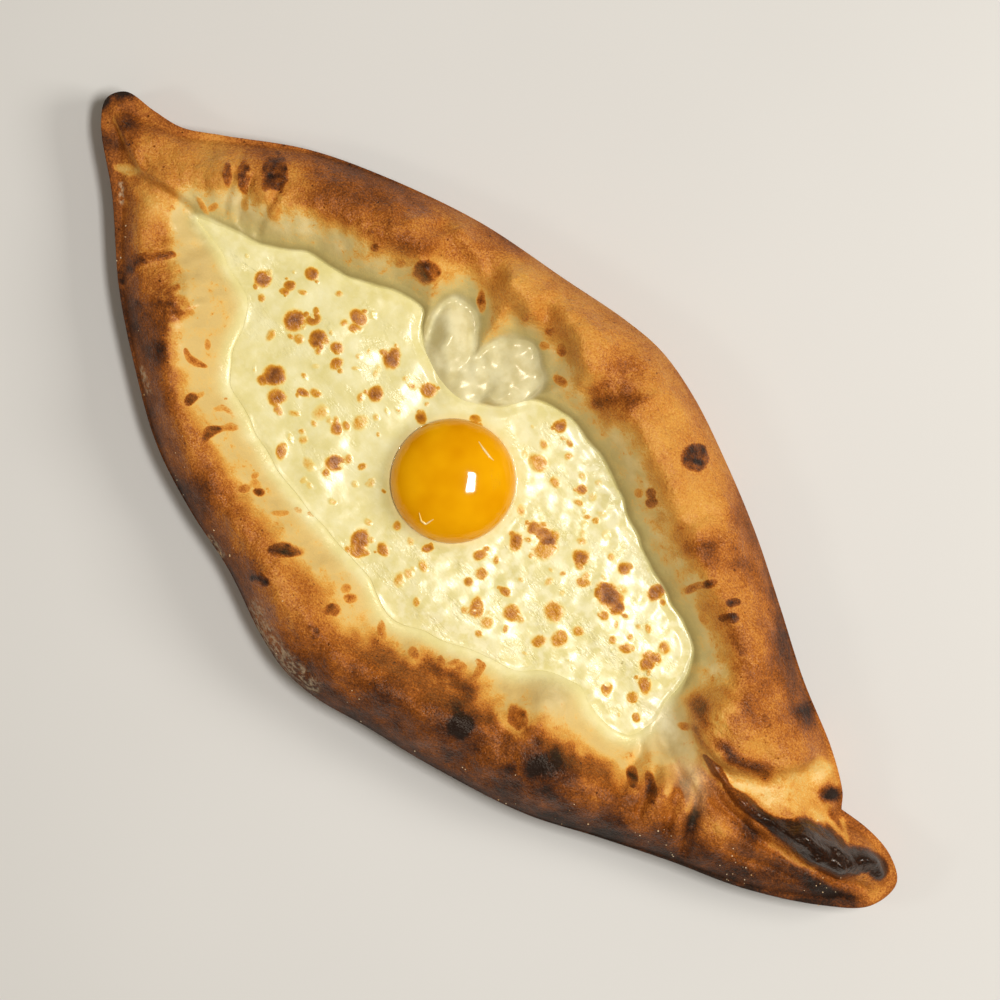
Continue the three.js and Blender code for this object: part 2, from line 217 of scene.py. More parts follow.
# Pale strips of dough that lie bare of browning, in millimetres: path, half width and how far they are baked.
PALE_BANDS = [
    ([(97, -1.6), (105, -1.2), (112, 1.4), (118, 5.5)], 3.8, 0.15),
    ([(118, 6), (124, 8.5), (129, 9.5)], 4.6, 0.27),
    ([(118, 9), (120.5, 14), (122, 18)], 4.6, 0.24),
    ([(-155.1, 6.7), (-152.7, 5.9), (-147.5, 3.8), (-143.3, 2.7), (-138.6, 1.7)], 0.5, 0.44),
    ([(-144.4, -2.6), (-141.5, -0.8), (-138.6, 1.2)], 1.3, 0.3),
    ([(96, -1), (91, -0.6), (86, 1)], 0.9, 0.3),
    ([(126, 9.8), (131.6, 9.8), (137.7, 9)], 1.0, 0.34),
    ([(136.3, 12.4), (138.8, 10.4), (141.1, 8.4)], 0.8, 0.34),
    ([(126, -7.4), (132, -5.6), (139, -3.6)], 1.4, 0.42),
    ([(97.5, -9), (99.5, -13), (101.5, -16.5)], 1.2, 0.36),
    ([(90.6, -11.5), (93.6, -17.5)], 1.1, 0.36),
]

# Wet folds of dough that lie between the cheese and the +Y wall, in millimetres: x, y, half length, half
# width, turn in degrees, height. Their dampness fades out over FOLD_DAMP.
FOLDS = [
    (-40.6, 29.8, 12.4, 7.0, 122, 3.0),
    (-23, 35.6, 9.8, 9.2, 45, 1.5),
    (-29.5, 26.6, 7.4, 6, 20, 1.5),
]
FOLD_DAMP = 2 * MM

# Edges where one sheet of dough lies over another, in millimetres: path, step up on the path's left, reach.
LAPS = [
    (
        [(-115, 4.4), (-122, 4.6), (-129.4, 3.3), (-137.5, 0.9), (-143.4, 2.4), (-151.6, 4.8), (-157, 6.8)],
        -5, 5,
    ),
    (
        [
            (79, 4), (85.6, 0.4), (93, -1.6), (100, -1), (105.1, 1.4), (110.1, 5), (113.9, 9.6), (116.4, 15),
            (119, 22),
        ],
        6, 7,
    ),
    ([(125, 12.4), (131, 11.4), (137, 10.6), (142, 9.4)], 3, 3),
    ([(121, -8.5), (132, -6), (146, -4), (152, -2.6)], 1.6, 3),
]

# Swellings and dents of the dough, in millimetres: x, y, half length, half width, turn in degrees, height.
SWELLINGS = [
    (51.5, -21, 8, 7, 0, 4.5),
    (-98, -10.5, 11, 8, -40, 4),
    (92, 12, 13, 10, 10, 4),
    (122, 13, 8, 6, -50, -4),
    (146.5, 12.6, 5.5, 3, -14, 2.4),
    (22, 46, 16, 9, -20, 2.4),
    (-62, 44, 18, 9, 15, 1.8),
    (-30, -52, 15, 9, -10, 2),
    (26, -50, 17, 9, 12, 2.4),
    (64, -36, 14, 9, 20, 2.2),
    (-78, -38, 12, 8, -30, 2),
    (54, 34, 12, 8, -25, 1.8),
    (3, 50, 7, 12, 0, -2.2),
    (42, 44, 5, 11, 20, -2.2),
    (-8, -54, 5, 12, 10, -2.4),
    (-55, -45, 5, 11, 20, -2),
    (46, -47, 5, 12, -15, -2.2),
]

# Low swells and hollows of the cheese, the same way.
CHEESE_SWELLS = [
    (-62, 6, 20, 14, 10, 1.1),
    (44, 6, 22, 14, -15, 1.0),
    (10, -24, 18, 9, 0, 0.8),
    (-28, -20, 9, 7, 0, -0.9),
    (20, 16, 9, 7, 30, -0.8),
    (62, -6, 7, 6, 0, -0.9),
    (-88, 8, 7, 6, 0, -0.8),
]

# Where the dough and the cheese are soaked, the same way, with 1 as fully wet.
WET_DOUGH = [
    (80, -4, 8, 5, -30, 1.0),
    (94, -9, 8, 4, -30, 0.6),
    (51, -20, 8, 5, 0, 0.6),
]
WET_CHEESE = [
    (-36, 18, 7, 3, -10, 0.5),
    (-18, 25, 4, 3, 45, 0.4),
    (74, -4, 5, 4, 0, 0.5),
]

# Random unevenness. Each row is a height in millimetres or a share, a size in millimetres and a seed.
CRUST_LUMPS = [(0.45, 9, 21), (0.2, 4, 22), (0.09, 1.7, 23)]
ROLL_LUMPS = [(0.2, 3, 41), (0.1, 1.4, 44)]
FOLD_WOBBLE = [(0.05, 5, 42)]
FOLD_LUMPS = [(0.2, 4, 43)]
CHEESE_LUMPS = [(0.16, 7, 51)]
CHEESE_CURDS = [(0.06, 2.6, 52)]
BAKE_DRIFT = [(0.03, 7, 11), (0.015, 2.4, 12)]
BAKE_CLOUDS = [(0.03, 11, 13)]
PALE_WOBBLE = [(0.16, 3, 18)]
PALE_CLOUDS = [(0.03, 5, 16)]
SCORCH_AND_SHADE_WOBBLE = [(0.12, 3, 14)]
SCORCHED_AND_SHADED_EDGE_WOBBLE = [(0.16, 4, 15)]
SPOT_MOTTLE = [(0.08, 1.5, 63)]
GRAIN_PATCHES = [(0.8, 9, 17)]

# Where the cheese is calm, and where along the boat its skin turns lively.
CALM_BY_YOLK = 17 * MM
CALM_BY_YOLK_BLEND = 6 * MM
CHEESE_EDGE_CALM = 1.5 * MM
LEAST_LIVELY = 0.35
LIVELY_START = -25 * MM
LIVELY_BLEND = 40 * MM
LIVELY_EDGE = 1 * MM

# Flour left on the outer edge, in millimetres: path and half width.
FLOUR = [
    ([(-26, -63.5), (-21, -66), (-14, -67.8), (-6, -68.3), (1, -67.5)], 2.4),
    ([(-50, -58.8), (-44, -60)], 0.9),
    ([(-98, -38.5), (-92, -41.5)], 0.9),
    ([(-140.4, -5), (-136.6, -8.6)], 0.7),
]

# Grains of flour: how many lie on a square metre of crust, their radii, and where they lie.
GRAIN_DENSITY = 90000.0
GRAIN_RADII = (0.1 * MM, 0.3 * MM)
GRAIN_SEED = 5
GRAIN_LEAST = 0.2
GRAIN_TAIL = 80 * MM
GRAIN_TAIL_BLEND = 50 * MM
GRAIN_REACH = 14.4 * MM
GRAIN_BLEND = 9 * MM
GRAIN_EDGE = 0.6 * MM

# How the crust is baked along the boat, x in millimetres. On the +Y side and then on the -Y side: how far out
# from the cheese it turns golden, how brown its crest is and how brown its outer edge is.
TOASTING = [
    (-160, 0.00, 0.54, 0.64, 0.05, 0.60, 0.70),
    (-150, 0.00, 0.54, 0.62, 0.05, 0.64, 0.72),
    (-138, 0.05, 0.46, 0.56, 0.08, 0.57, 0.70),
    (-125, 0.26, 0.45, 0.56, 0.16, 0.54, 0.68),
    (-118, 0.34, 0.46, 0.60, 0.28, 0.54, 0.70),
    (-112, 0.40, 0.50, 0.68, 0.42, 0.58, 0.76),
    (-100, 0.38, 0.58, 0.76, 0.52, 0.60, 0.72),
    (-85, 0.30, 0.62, 0.70, 0.45, 0.58, 0.74),
    (-70, 0.27, 0.60, 0.66, 0.42, 0.62, 0.78),
    (-55, 0.22, 0.54, 0.60, 0.42, 0.62, 0.76),
    (-40, 0.14, 0.46, 0.56, 0.36, 0.61, 0.73),
    (-25, 0.16, 0.44, 0.52, 0.32, 0.58, 0.70),
    (-8, 0.26, 0.44, 0.50, 0.30, 0.60, 0.76),
    (5, 0.24, 0.46, 0.52, 0.20, 0.64, 0.80),
    (20, 0.23, 0.43, 0.52, 0.20, 0.68, 0.82),
    (35, 0.22, 0.43, 0.54, 0.22, 0.70, 0.84),
    (48, 0.24, 0.46, 0.58, 0.36, 0.68, 0.84),
    (60, 0.24, 0.50, 0.66, 0.34, 0.66, 0.84),
    (74, 0.24, 0.56, 0.76, 0.24, 0.66, 0.88),
    (88, 0.38, 0.62, 0.82, 0.33, 0.68, 0.92),
    (100, 0.28, 0.55, 0.76, 0.33, 0.64, 0.90),
    (112, 0.12, 0.44, 0.58, 0.24, 0.60, 0.90),
    (130, 0.05, 0.46, 0.58, 0.05, 0.60, 0.90),
    (150, 0.00, 0.52, 0.58, 0.00, 0.63, 0.82),
    (162, 0.00, 0.52, 0.58, 0.00, 0.60, 0.70),
]

# Where the dough turns brown, in shares of the way from the cheese to the outline, and over what share.
RAW_BAKE = 0.04
GOLDEN_LEAD = 0.13
GOLDEN_BLEND = 0.3
CLOUDS_BLEND = 0.2
FLANK_START = 0.6
FLANK_BLEND = 0.36

# Where pale strips, scorched and shaded edges and flour end, in half widths, and over how many of these they
# fade.
PALE_FADE = (1.3, 0.9)
SCORCHED_AND_SHADED_FADE = (1.7, 1.4)
FLOUR_FADE = (1.5, 1)

# The darker and drier line along the outer edge: deeper browning with painted shade where the edge curls
# under, with less of the darkening on the +Y side.
EDGE_BROWNING_AND_SHADE = 0.1
EDGE_SHADE_LESS_FAR = 0.7
EDGE_SHADE_REACH = 2.5 * MM
DRY_EDGE = 8 * MM

# Crisp dark blisters of the crust, in millimetres: x, y, half length, half width, turn in degrees, darkness.
BLISTERS = [
    # along the +Y rim
    (-119.5, 18.5, 3.8, 1.4, -45, 0.78), (-115.8, 21.4, 5.2, 1.8, -42, 0.82),
    (-110, 28, 7.4, 3.9, -43, 0.92), (-104.5, 22.5, 5.5, 2.6, -42, 0.5),
    (-110.6, 16.4, 2.4, 1.2, -45, 0.36), (-118.8, 7, 2.6, 0.9, -8, 0.44), (-116.4, 9, 1.5, 1, 70, 0.48),
    (-78, 36, 1.7, 1.4, 45, 0.7), (-74.5, 33.5, 1.7, 1.2, 45, 0.7), (-66.5, 35.5, 1.7, 1.2, 45, 0.5),
    (-59.5, 39, 3.8, 3.2, 45, 0.85), (-43, 44.5, 2.9, 1.2, -45, 0.7), (-30.5, 49.5, 1.4, 1.2, 45, 0.6),
    (-28, 52, 1.4, 1.2, 45, 0.6), (-22.5, 52, 1.7, 1.4, 45, 0.65), (-16.5, 50.5, 2, 1.4, -15, 0.65),
    (-21, 48, 1.4, 1.2, 45, 0.5), (-10.5, 44, 2.3, 1.4, 0, 0.6), (32, 55.5, 4.3, 4.1, 45, 0.97),
    (30.5, 39.5, 1.7, 1.4, -45, 0.8), (32.5, 37.5, 1.7, 1.4, 45, 0.8), (28, 37, 1.2, 1.2, 45, 0.5),
    (60, 33, 2.6, 1.4, 75, 0.82), (58, 29, 2.9, 1.2, 75, 0.65), (68.5, 34, 2.3, 1.4, 45, 0.92),
    (71, 30, 3.2, 1.7, 45, 0.92), (66.5, 25, 2.3, 1.4, -25, 0.5), (91, 20, 2.3, 1.7, 45, 0.6),
    (99, 16.5, 2.6, 1.6, 15, 0.75), (98, 10, 2, 1.7, 45, 0.6), (94.6, 12.4, 1.5, 1.3, 0, 0.6),
    (84.3, -0.8, 1.8, 1.2, 45, 0.55), (103, 12.6, 1.3, 0.9, 0, 0.6), (93.4, 8.4, 1.2, 0.9, 0, 0.62),
    # along the -Y rim
    (-105.5, -22, 7.6, 4.4, 42, 0.78), (-107.5, -17, 3.6, 1.6, 70, 0.66), (-100, -17, 2.4, 1.3, 20, 0.5),
    (-111, -27, 3.4, 2.6, 100, 0.86), (-101, -25.5, 2.6, 1.2, 45, 0.8), (-81.5, -34.4, 2.3, 1.4, 95, 0.85),
    (-80.7, -31.5, 1.2, 0.8, 90, 0.42), (-89.4, -20, 1.4, 0.8, -45, 0.48), (-73.3, -29.8, 1.1, 0.8, 0, 0.6),
    (-75.2, -27.3, 0.6, 0.5, 0, 0.5), (-49.1, -39.5, 1.6, 1.3, 20, 0.85),
    (-52.8, -41.6, 1.7, 1.2, 30, 0.66), (-53.4, -37, 1.3, 0.9, 80, 0.5), (-51.4, -38.6, 1.8, 1.2, 20, 0.42),
    (-37.6, -35.4, 1.2, 0.8, 30, 0.4), (-34, -33.4, 1.4, 0.7, 30, 0.42), (-40.5, -39.5, 2.3, 0.9, 45, 0.45),
    (-32, -46, 4.6, 2, 40, 0.93), (-31.5, -56.5, 4.1, 2, 15, 0.95), (-10.5, -48.5, 2.3, 1.7, 45, 0.75),
    (-9, -42.5, 1.7, 1.4, 45, 0.6), (-12, -41.5, 1.4, 1.2, 45, 0.5), (-9.5, -56, 2.6, 1.7, -15, 0.85),
    (4, -43, 3.5, 1.2, -35, 0.55), (16, -47.5, 2.3, 1.7, -15, 0.7), (15, -41, 2, 1.4, -15, 0.6),
    (22.5, -37.5, 2.3, 1.4, -35, 0.65), (27.5, -34.5, 2, 1.4, -35, 0.65), (22.9, -38, 2.8, 1.2, -45, 0.62),
    (32.4, -34.8, 2.2, 1.5, -70, 0.68), (48.7, -32.6, 3.5, 2.9, -30, 0.74), (84, -21.5, 3, 1.6, -45, 0.88),
    (89.8, -20.2, 4.6, 1.8, -42, 0.9), (97, -17.5, 3.6, 2.4, -35, 0.66), (105.5, -11.5, 2.6, 1.4, -35, 0.6),
]

# Crisp dark bands, in millimetres: path, half width and darkness. A band is a share of its width at its ends.
BLISTER_BANDS = [
    ([(-114.5, -9), (-117.6, -12.8), (-120.4, -16.4), (-121.4, -21)], 1.5, 0.72),
    ([(-119.5, -15.5), (-121.4, -19.5), (-121.2, -24), (-118.6, -27)], 2.6, 0.86),
    ([(-92.2, -25.6), (-90, -26.4), (-87.6, -26), (-85.6, -25.1)], 0.9, 0.62),
    ([(-74.8, -31.8), (-73.3, -29.8), (-70.8, -29.2)], 0.8, 0.42),
    ([(-70.4, -39.4), (-70.9, -36.6), (-69.8, -34.4)], 1.5, 0.8),
    ([(-69.8, -34.4), (-68.6, -32.4), (-67, -31)], 1.0, 0.5),
    ([(24.3, -35.7), (25.5, -34.1), (27.9, -33.9), (29.3, -36.2)], 0.9, 0.52),
    ([(29.3, -29.5), (31.4, -29.9), (32.2, -33.2), (32.8, -36)], 1.1, 0.56),
]
BAND_ENDS = 0.7
BAND_SWELL = 0.4

# How high blisters and browned spots stand, in millimetres, and where in a spot's field its flank rises.
BLISTER_RISE = 0.35
BLISTER_EDGE = 2 * MM
SPOT_RISE = 0.2
SPOT_FOOT = 0.42
SPOT_FLANK = 0.2
SPOT_DARKNESS = 0.98
SPOT_WANDER = 0.15 * MM
SPOT_WANDER_SIZE = 3 * MM
SPOT_WANDER_SEED = 61

# Soft scorched patches of the crust, as for the blisters, with how much darker they are. One of them is
# painted shadow.
SCORCHES_AND_SHADE = [
    (-90.5, 36.5, 9, 5, 25, 0.12), (-51, 60, 8, 5, 25, 0.06), (1.5, 48, 6, 4, 15, 0.34),
    (-3, 58.8, 7, 5, 45, 0.18), (-68, 40, 6, 4, 20, 0.12), (52.5, 39, 6, 4.5, 5, 0.3),
    (106.5, 26.5, 4.5, 3.5, -15, 0.35), (78, 26, 5, 3, -30, 0.14), (128.6, 14.8, 3.6, 2.4, 60, 0.52),
    (84, 5.4, 5.5, 3, -40, 0.34), (-113, -30, 6, 4, -35, 0.16), (-97, -30, 3.4, 3, 45, 0.3),
    (-63, -50, 9, 5, 20, 0.12), (15, -56.5, 8, 5, 15, 0.24), (1, -62, 8, 5, 5, 0.14),
    (38, -46, 9, 5, 15, 0.2), (65, -37, 9, 7, 10, 0.26), (60, -30, 9, 4, 10, 0.22),
    (61.5, -39, 4, 3.4, 0, 0.3), (38.5, -45.4, 3.4, 2.8, -45, 0.4), (21, -38, 8, 3, 0, 0.22),
    # The patch at (104.4, -17.8) is painted shadow in a furrow of the -Y rim, not scorching.
    (30, -36, 6, 4, 0, 0.2), (104.4, -17.8, 4.6, 2, -50, 0.45), (84, 10, 6, 4, -30, 0.3),
    (92, 16, 7, 3, -10, 0.2), (6.3, 54, 5, 4, 0, 0.2), (103, 11, 6, 3, 30, -0.1),
    (-126, -1.8, 8, 3.2, 6, -0.24), (-151, 1.5, 6, 2.4, 25, 0.2), (-151, 9.5, 4.4, 2.8, -30, 0.34),
    (-158.8, 14, 3.4, 1.8, 45, 0.5), (-161, 8, 1.6, 3.6, -10, 0.5), (118, -8.5, 4, 2, 20, 0.24),
    (133, -9, 6, 2, 22, 0.1), (147, -6, 5, 3, 20, 0.08), (158.5, 4, 2.6, 3.4, 0, -0.14),
    (154, -2, 4.5, 2, 20, 0.2), (122, -16, 6, 3, 25, -0.16), (112, -14, 4, 2.5, 40, -0.14),
    (140, -3.5, 5, 1.6, 20, -0.14),
]

# Dark edges of the crust, in millimetres: path, half width and how much darker. They are scorching with
# painted shade: the first under the overhanging pillow, the second below the charred roll.
SCORCHED_AND_SHADED_EDGES = [
    ([(81.6, 5.6), (87.7, 2.8), (94.8, 1.6), (103, 2.4), (108.5, 5)], 2.7, 0.32),
    ([(131, -5.4), (141, -7.4), (149, -4.6)], 2.0, 0.1),
]

# Browned spots of the cheese, in millimetres: x, y, radius, darkness.
CHEESE_SPOTS = [
    (-92, 4.5, 2, 0.75), (-77, 2.5, 2.6, 0.8), (-73.5, 6.5, 1.7, 0.62), (-68.5, 3.5, 2.2, 0.8),
    (-70, -13, 2.6, 0.85), (-40, -18.5, 2.2, 0.75), (-49.5, 14.5, 2.4, 0.75), (-19, -29, 2.5, 0.7),
    (-17.5, -31.5, 2, 0.6), (19.5, 9, 2.4, 0.75), (17, 9.5, 1.8, 0.65), (29.5, 12.5, 2.1, 0.7),
    (43, 10.5, 3.1, 0.86), (47, 9.5, 1.9, 0.75), (64.5, 6.5, 2.1, 0.62), (64.5, 4, 1.9, 0.62),
    (-85, 8.5, 1.3, 0.66), (-85, 6.5, 1.1, 0.6), (-83, 15.5, 1.6, 0.7), (-64.5, 16, 1.9, 0.7),
    (-63.5, 13, 1.3, 0.55), (-63, 5.5, 1.6, 0.66), (-65, -17, 2.2, 0.66), (-60.5, -10.5, 1.3, 0.6),
    (-58, -8, 1.3, 0.5), (-59.5, 2, 1.5, 0.6), (-45.5, 4, 1.9, 0.68), (-48, 0, 1.1, 0.4),
    (-46.5, -11, 1.6, 0.6), (-45, -8.5, 1.1, 0.5), (-53, -27, 1.6, 0.6), (-33.5, -13.5, 1.1, 0.5),
    (-12.5, -26, 1.6, 0.6), (-14.5, -18.5, 1.2, 0.5), (-3.5, -17, 1.3, 0.66), (-35.5, 15.5, 1.9, 0.6),
    (-31.5, 8.5, 1.6, 0.66), (-20, 19, 1.5, 0.55), (-1.5, 35, 1.6, 0.66), (1.5, 23, 2.5, 0.42),
    (9, 22.5, 1.3, 0.42), (16, 26.5, 1.3, 0.6), (14, 9, 1.6, 0.66), (13, 2.5, 1.9, 0.66),
    (8.5, -7.5, 1.6, 0.6), (12.5, -11, 1.6, 0.5), (11.5, -15.5, 1.2, 0.5), (18.5, -19, 2.2, 0.58),
    (27, -13, 2.2, 0.55), (35, -4, 2.6, 0.5), (21, -10, 1.3, 0.55), (35, 8, 1.6, 0.5), (46, 5.5, 1.3, 0.5),
    (40.5, 19, 1.6, 0.62), (41.5, -8.5, 2.2, 0.5), (38, -13, 1.6, 0.5), (57, 3, 1.6, 0.55),
    (61.5, -9, 1.6, 0.55), (68.5, -0.5, 2, 0.6), (68.5, -5.5, 1.4, 0.5), (73.5, -9, 1.2, 0.5),
    (65, 11, 1.4, 0.5), (52, 21, 2.2, 0.74), (-79, -5.5, 1.4, 0.38), (-72.5, -0.5, 1.4, 0.42),
    (-53, -11, 2, 0.32), (-43, -5, 2, 0.34), (-38, -15, 1.2, 0.4), (-45, -24, 1.7, 0.3),
    (-51, -20, 1.2, 0.34), (-28.5, -15, 1.2, 0.3), (8, 10, 1.4, 0.32), (23.5, -20, 1.7, 0.4),
    (44, -3, 1.4, 0.42), (-3, -29, 1.7, 0.35), (-2, -26, 1.4, 0.34), (-1, -21.5, 1.4, 0.36),
    (20.5, 7, 2.9, 0.45),
]

# Each spot is stretched by a random share. A dark one has a small one beside it, in shares of its radius.
SPOT_SEED = 71
SPOT_STRETCH = (1.0, 1.22)
SATELLITE_STEP = (1.0, 1.7)
SATELLITE_SIZE = (0.3, 0.6)
SATELLITE_DARKNESS = 0.7

# Golden freckles of the cheese: how many are tried, and their radii in millimetres.
FRECKLES = 240
FRECKLE_RADIUS = (0.4, 1.0)
FRECKLE_STRETCH = (1.0, 1.6)
FRECKLE_DARKNESS = (0.2, 0.46)
FRECKLES_FROM_EDGE = 4 * MM
FRECKLES_FROM_YOLK = 1 * MM


def metres(rows):
    """A table of lengths in millimetres as an array in metres."""
    return np.array(rows, float) * MM


def smooth(t):
    t = np.clip(t, 0, 1)
    return t * t * (3 - 2 * t)


def mix(a, b, t):
    return a + (b - a) * t


def curve_at(points, places):
    """Points of a smooth closed curve. Place 3.5 is half way from its point 3 to its point 4."""
    first = np.floor(places).astype(int)
    share = (places - first)[:, None]
    p0, p1, p2, p3 = (points[(first + k) % len(points)] for k in (-1, 0, 1, 2))
    g0, g1, g2 = (np.sqrt(np.linalg.norm(b - a, axis=1))[:, None] for a, b in ((p0, p1), (p1, p2), (p2, p3)))
    leave = ((p1 - p0) / g0 - (p2 - p0) / (g0 + g1) + (p2 - p1) / g1) * g1
    arrive = ((p2 - p1) / g1 - (p3 - p1) / (g1 + g2) + (p3 - p2) / g2) * g1
    bend = -3 * p1 + 3 * p2 - 2 * leave - arrive
    twist = 2 * p1 - 2 * p2 + leave + arrive
    return p1 + share * (leave + share * (bend + share * twist))


def even_points(points, start, end, count):
    """Points at equal steps along a stretch of a closed curve, without the last one."""
    dense = curve_at(points, np.linspace(start, end, STEPS_PER_POINT * count + 1))
    run = np.concatenate([[0], np.cumsum(np.linalg.norm(np.diff(dense, axis=0), axis=1))])
    steps = np.arange(count) / count * run[-1]
    return np.stack([np.interp(steps, run, dense[:, k]) for k in (0, 1)], axis=1)


def rib_points(points, far_column, near_column, density):
    """One point of a closed outline for each rib, from the pinched tip along +Y and back along -Y."""
    pairs = list(zip(RIBS, RIBS[1:]))
    far = [even_points(points, a[far_column], b[far_column], a[0] * density) for a, b in pairs]
    near = [even_points(points, b[near_column], a[near_column], a[0] * density) for a, b in reversed(pairs)]
    return np.concatenate(far + near)


def nearest(path, places, closed=False):
    """Each place's distance from a path, the share of the path before it, and its side: 1 is the left."""
    best = np.full(len(places), np.inf)
    along = np.zeros(len(places))
    side = np.ones(len(places))
    ends = np.roll(path, -1, axis=0) if closed else path[1:]
    for k, (a, b) in enumerate(zip(path, ends)):
        step = b - a
        reach = places - a
        t = np.clip(reach @ step / (step @ step), 0, 1)
        distance = np.hypot(reach[:, 0] - t * step[0], reach[:, 1] - t * step[1])
        closer = distance < best
        best[closer] = distance[closer]
        along[closer] = (k + t[closer]) / len(ends)
        side[closer] = np.where(step[0] * reach[closer, 1] - step[1] * reach[closer, 0] < 0, -1, 1)
    return best, along, side


def ripple(places, size, seed, waves=24):
    """Smooth random relief, mostly from -1 to 1, with forms about size across."""
    draw = np.random.default_rng(seed)
    total = np.zeros(len(places))
    for _ in range(waves):
        angle = draw.uniform(0, 2 * math.pi)
        wavelength = size * draw.uniform(1.4, 3.2)
        phase = draw.uniform(0, 2 * math.pi)
        run = places[:, 0] * math.cos(angle) + places[:, 1] * math.sin(angle)
        total += np.cos(2 * math.pi * run / wavelength + phase)
    return total / math.sqrt(waves / 2)


def ripples(places, rows):
    """Several ripples added up. Each row is a height, a size in millimetres and a seed."""
    return sum(height * ripple(places, size * MM, seed) for height, size, seed in rows)


def hill(places, x, y, length, width, turn, wobble=0):
    """How far each place is from the middle of an oval, with 1 on the oval."""
    angle = math.radians(turn)
    dx = places[:, 0] - x * MM
    dy = places[:, 1] - y * MM
    along = (dx * math.cos(angle) + dy * math.sin(angle)) / (length * MM)
    across = (dy * math.cos(angle) - dx * math.sin(angle)) / (width * MM)
    return np.hypot(along, across) * (1 + wobble)


def wandered(points, amount, size, seed):
    """Points moved a little by a smooth random field, which moves equal places alike."""
    return points + amount * np.stack([ripple(points, size, seed), ripple(points, size, seed + 1)], axis=1)


def wandered_edge(points):
    """Points of the cheese's edge with the small unevenness that the dough's foot shares."""
    return wandered(points, EDGE_WANDER, EDGE_WANDER_SIZE, EDGE_WANDER_SEED)


outline = metres(OUTLINE)
cheese_outline = metres(CHEESE_OUTLINE)
outline_chords = even_points(outline, 0, len(outline), LOOP_CHORDS)
cheese_chords = wandered_edge(even_points(cheese_outline, 0, len(cheese_outline), LOOP_CHORDS))


def cheese_edge(density):
    return wandered_edge(rib_points(cheese_outline, 2, 4, density))


def swell_height(places, rows):
    return sum(height * MM * np.exp(-hill(places, *oval) ** 2) for *oval, height in rows)


def groove_height(places, path, width, height):
    distance = nearest(metres(path), places)[0]
    return height * MM * np.exp(-((distance / (width * MM)) ** 2))


def lap_height(places, path, step, reach):
    distance, along, side = nearest(metres(path), places)
    ends = smooth(along / LAP_FADE) * smooth((1 - along) / LAP_FADE)
    return step * MM / 2 * side * np.tanh(distance / LAP_EDGE) * np.exp(-distance / (reach * MM)) * ends


def crest_height(x):
    share = np.clip(np.abs(x) / HALF_LENGTH, 0, 1) ** TIP_FALL
    return mix(RIM_CREST, np.where(x < 0, PINCHED_TIP_CREST, TWISTED_TIP_CREST), share)


def far_share(places):
    """1 on the +Y side of the boat, 0 on its -Y side."""
    return smooth(places[:, 1] / SIDES_BLEND + 0.5)


def foot_height(places):
    """Where the dough's inner wall meets the cheese."""
    return mix(FOOT_NEAR, FOOT_FAR, far_share(places))


def roll_field(places):
    """Charred roll: 1 on its middle line, 0 on its edge and less beyond, and its half width there."""
    distance, along, _ = nearest(metres(ROLL_PATH), places)
    width = np.interp(along, np.linspace(0, 1, len(ROLL_WIDTHS)), ROLL_WIDTHS) * MM
    return 1 - distance / width, width


def roll_height(places):
    field, width = roll_field(places)
    round_top = np.sin(np.clip(field, 0, 1) * math.pi / 2) * (1 + ripples(places, ROLL_LUMPS))
    return ROLL_RISE * MM * round_top * width / (max(ROLL_WIDTHS) * MM)


def fold_height(places):
    """Height of the wet folds above the wall's foot, and how far each place is from them."""
    rise = np.zeros(len(places))
    away = np.full(len(places), np.inf)
    wobble = ripples(places, FOLD_WOBBLE)
    for *oval, height in FOLDS:
        reach = hill(places, *oval, wobble)
        rise = np.maximum(rise, height * MM * np.cos(np.clip(reach, 0, 1) * math.pi / 2))
        away = np.minimum(away, np.clip(reach - 1, 0, None) * oval[3] * MM)
    return rise + MM * ripples(places, FOLD_LUMPS) * smooth(rise / FOLD_BLEND), away


def dough_height(places, from_outline, from_cheese):
    """Top of the dough outside the cheese, with the forms that show from a step away."""
    crest = crest_height(places[:, 0])
    belly = BELLY_SHARE * crest
    curve = 1 - np.clip(from_outline / SHOULDER, 0, 1)
    shoulder = belly + (crest - belly) * np.sqrt(1 - curve**2)
    far = far_share(places)
    foot = foot_height(places)
    folds, from_folds = fold_height(places)
    from_foot = np.minimum(from_cheese, from_folds)
    reach = mix(WALL_REACH_NEAR, WALL_REACH_FAR, far)
    crease = WALL_CREASE * far
    wall = (crest - foot) * (1 - smooth(crease + (1 - crease) * from_foot / reach))
    wall = np.where(from_foot < TINY, crest - foot, wall)
    relief = swell_height(places, SWELLINGS)
    relief = relief + sum(groove_height(places, *groove) for groove in GROOVES)
    relief = relief + sum(lap_height(places, *lap) for lap in LAPS)
    relief = relief + roll_height(places)
    relief = relief * smooth(from_outline / CALM_RIM) * smooth(from_foot / mix(CALM_NEAR, CALM_FAR, far))
    relief = relief + folds * smooth(from_cheese / FOLD_BLEND)
    return np.maximum(foot - DEEPEST_GROOVE, shoulder - wall * smooth(from_outline / OUTER_BLEND) + relief)


def softened(grid, passes):
    """A closed grid of rows by ribs with its sharp steps eased. The first and last rows stay."""
    grid = grid.copy()
    for _ in range(passes):
        grid = (np.roll(grid, 1, axis=1) + 2 * grid + np.roll(grid, -1, axis=1)) / 4
        grid[1:-1] = (grid[:-2] + 2 * grid[1:-1] + grid[2:]) / 4
    return grid


def spine_of(loop):
    """The line down the middle that the inner rows close on. Both sides share its points."""
    mates = loop[-np.arange(len(loop)) % len(loop)]
    middle = (loop + mates) / 2
    centre = (middle[0] + middle[len(loop) // 2]) / 2
    return np.stack([mix(centre[0], middle[:, 0], SPINE_SHARE), middle[:, 1]], axis=1)


def new_piece(name, mesh):
    piece = bpy.data.objects.new(name, mesh)
    bpy.context.collection.objects.link(piece)
    return piece


